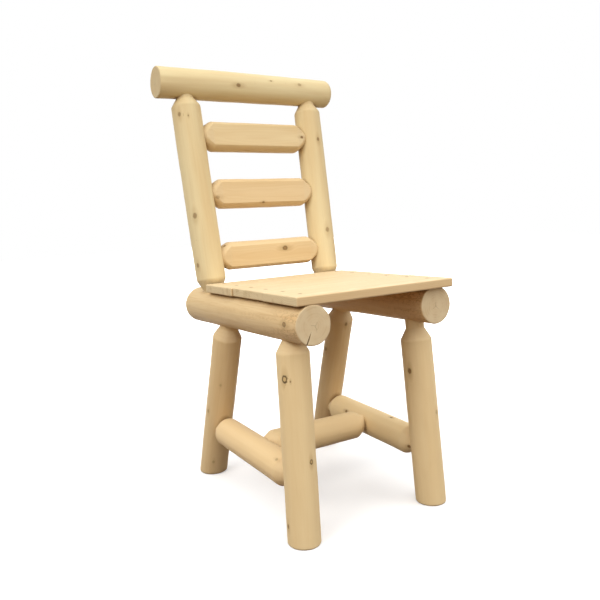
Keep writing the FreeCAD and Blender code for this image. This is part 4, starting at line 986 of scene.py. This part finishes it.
def make_log(name, tree, inputs, wood, seed):
    """One log with its knots, as a plain mesh that stands for its solid."""
    log = measure_log(name)
    outline, stands = log_outline(name, log)
    looks = LOGS[name]
    first, last = outline[0][1], outline[-1][1]
    knots = log_knots(name, log, first, last, seed)
    knot_object = point_object(
        f"{name}_knots", [knot[:3] for knot in knots], [],
        knot_size=[knot[3] for knot in knots], knot_look=[knot[4] for knot in knots])
    turned = point_object(
        f"{name}_turned", [(radius, 0, station) for radius, station, share in outline],
        [(at, at + 1) for at in range(len(outline) - 1)],
        end_share=[share for radius, station, share in outline])
    check_angle, check_depth, check_reach = looks.get("check", NO_CHECK)
    sides = CHECKED_SIDES if "check" in looks else SIDES
    step = math.tau / sides
    modifier = turned.modifiers.new("peeled log", "NODES")
    modifier.node_group = tree
    settings = {
        "Knots": knot_object, "Start": log["start"], "Along": log["along"], "Front": log["front"],
        "Beside": log["beside"], "Sides": sides,
        "Planed": log["planed"][0], "Planed Slope": log["planed"][1],
        "Planed Reach": log["planed"][2] if name.endswith("rail") else NO_PLANED_FACE,
        "Stands": float(stands), "Foot Round": FOOT_ROUND,
        "Bow": [value * MM for value in looks.get("bow", (0, 0, 0))],
        "Middle": (first + last) / 2, "Half Length": (last - first) / 2,
        "Lump Height": LUMP_HEIGHT, "Stroke Depth": STROKE_DEPTH,
        "Check Angle": round(math.radians(check_angle) / step) * step, "Check Depth": check_depth * MM,
        "Check Reach": check_reach * MM, "Check Station": first,
        "Seed": seed * SEED_STEP, "Tone": looks["tone"], "Pale": looks.get("pale", 0.0),
        "Bark": looks["bark"], "Bark Reach": looks.get("bark_reach", ALL_ALONG) * MM,
        "Fibre": looks.get("fibre", USUAL_FIBRE), "Wood": wood}
    for label, value in settings.items():
        modifier[inputs[label]] = value.tolist() if isinstance(value, np.ndarray) else value
    made = bpy.data.meshes.new_from_object(turned.evaluated_get(bpy.context.evaluated_depsgraph_get()))
    for spare in (turned, knot_object):
        spare_mesh = spare.data
        bpy.data.objects.remove(spare)
        bpy.data.meshes.remove(spare_mesh)
    shape = bmesh.new()
    shape.from_mesh(made)
    bmesh.ops.dissolve_degenerate(shape, edges=shape.edges, dist=MERGE_REACH / 2)
    bmesh.ops.recalc_face_normals(shape, faces=shape.faces)
    shape.to_mesh(made)
    shape.free()
    made.set_sharp_from_angle(angle=SHARP_ANGLE)
    piece = bpy.data.objects.new(f"peeled_{name}", made)
    bpy.context.scene.collection.objects.link(piece)
    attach(piece, "root")
    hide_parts(name)


log_tree, log_inputs = peeled_log_tree()
cedar = peeled_cedar_material()
for seed, name in enumerate(LOGS, start=1):
    make_log(name, log_tree, log_inputs, cedar, seed)

# Boards and screws keep their solids. Each board comes from another part of a log, whose pith lies at this
# place on the chair's Y and Z in metres
BOARD_PITHS = ((-0.25, 0.36), (-0.03, 0.55), (0.06, 0.37))
BOARD_SEED_STEP = 3.1
for at, name in enumerate(BOARDS):
    pith_y, pith_z = BOARD_PITHS[at]
    board = sawn_cedar_material(f"sawn white cedar {at + 1}", pith_y, pith_z, BOARD_SEED_STEP * (at + 1))
    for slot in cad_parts[name].material_slots:
        slot.material = board
zinc = zinc_screw_material()
for name in SCREWS:
    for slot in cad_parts[name].material_slots:
        slot.material = zinc

# The studio: a pale floor, a white background, a soft light that is strongest from overhead and three lamps
scene = bpy.context.scene
scene.view_settings.view_transform = "Standard"
FLOOR_REACH = 6.0
OVERHEAD_LIGHT = 1.72
# Each lamp's place and width in metres and its power in watts
LAMPS = {
    "left light": ((-2.4, -0.8, 2.0), 1.4, 31),
    "front light": ((-0.6, -3.0, 1.2), 2.2, 12),
    "right light": ((2.0, -2.0, 1.6), 2.0, 19)}
LAMP_AIM = Vector((0, 0, 0.45))
LAMP_COLOUR = "FFFBF4"


def seen_share(tree):
    """1 for a ray from the eye, off a glossy surface or through glass, and 0 for one that gathers light."""
    path = add(tree, "ShaderNodeLightPath")
    seen_or_glossy = add(tree, "ShaderNodeMath", {"operation": "MAXIMUM"},
                         {0: path.outputs["Is Camera Ray"], 1: path.outputs["Is Glossy Ray"]})
    return add(tree, "ShaderNodeMath", {"operation": "MAXIMUM"},
               {0: seen_or_glossy, 1: path.outputs["Is Transmission Ray"]})


floor_mesh = bpy.data.meshes.new("floor")
floor_mesh.from_pydata([(-FLOOR_REACH, -FLOOR_REACH, 0), (FLOOR_REACH, -FLOOR_REACH, 0),
                        (FLOOR_REACH, FLOOR_REACH, 0), (-FLOOR_REACH, FLOOR_REACH, 0)], [], [(0, 1, 2, 3)])
floor = bpy.data.objects.new("floor", floor_mesh)
scene.collection.objects.link(floor)
pale = bpy.data.materials.new("pale studio floor")
pale.use_nodes = True
tree = pale.node_tree
tree.nodes.clear()
# The floor looks pale, and whiter farther out. The light that it sends back is weak and warm, so that the
# undersides of the logs stay as dark as in the photograph
matt = add(tree, "ShaderNodeBsdfDiffuse", None, {"Color": paint("54391C")})
matt_white = add(tree, "ShaderNodeBsdfDiffuse", None, {"Color": paint("E8E8E8")})
floor_place = add(tree, "ShaderNodeTexCoord").outputs["Object"]
from_chair = add(tree, "ShaderNodeVectorMath", {"operation": "LENGTH"},
                 {0: floor_place}).outputs["Value"]
glow_strength = add(tree, "ShaderNodeMapRange", {"interpolation_type": "SMOOTHSTEP"},
                    {"Value": from_chair, "From Min": 0.4, "From Max": 1.6, "To Min": 0.34,
                     "To Max": 1.0})
glow = add(tree, "ShaderNodeEmission", None,
           {"Color": (1, 1, 1, 1), "Strength": glow_strength.outputs[0]})
seen = add(tree, "ShaderNodeAddShader", None, {0: matt_white, 1: glow})
mixed = add(tree, "ShaderNodeMixShader", None, {0: seen_share(tree), 1: matt, 2: seen})
add(tree, "ShaderNodeOutputMaterial", None, {"Surface": mixed})
floor_mesh.materials.append(pale)

world = bpy.data.worlds.new("studio")
scene.world = world
world.use_nodes = True
tree = world.node_tree
tree.nodes.clear()
sky_way = add(tree, "ShaderNodeSeparateXYZ", None,
              {0: add(tree, "ShaderNodeTexCoord").outputs["Generated"]})
sky_share = add(tree, "ShaderNodeMapRange", None,
                {"Value": sky_way.outputs[2], "To Max": OVERHEAD_LIGHT})
fill = add(tree, "ShaderNodeBackground", None,
           {"Color": (1, 1, 1, 1), "Strength": sky_share.outputs[0]})
white = add(tree, "ShaderNodeBackground", None, {"Color": (1, 1, 1, 1), "Strength": 1.0})
shown = add(tree, "ShaderNodeMixShader", None, {0: seen_share(tree), 1: fill, 2: white})
add(tree, "ShaderNodeOutputWorld", None, {"Surface": shown})

for label, (place, size, power) in LAMPS.items():
    lamp = bpy.data.lights.new(label, "AREA")
    lamp.shape = "DISK"
    lamp.size = size
    lamp.energy = power
    lamp.color = paint(LAMP_COLOUR)[:3]
    lamp_object = bpy.data.objects.new(label, lamp)
    aim = LAMP_AIM - Vector(place)
    lamp_object.matrix_world = Matrix.Translation(place) @ aim.to_track_quat("-Z", "Y").to_matrix().to_4x4()
    scene.collection.objects.link(lamp_object)

eye = bpy.data.cameras.new("photograph")
eye.sensor_width = SENSOR_WIDTH
eye.lens = SENSOR_WIDTH * FOCAL_PIXELS / PHOTO_PIXELS
eye.shift_x = (PHOTO_PIXELS / 2 - MIDDLE_PIXEL[0]) / PHOTO_PIXELS
eye.shift_y = (MIDDLE_PIXEL[1] - PHOTO_PIXELS / 2) / PHOTO_PIXELS
eye_object = bpy.data.objects.new("photograph", eye)
eye_object.matrix_world = Matrix((
    (look_right.x, look_up.x, -look.x, EYE.x),
    (look_right.y, look_up.y, -look.y, EYE.y),
    (look_right.z, look_up.z, -look.z, EYE.z),
    (0, 0, 0, 1)))
scene.collection.objects.link(eye_object)
scene.camera = eye_object
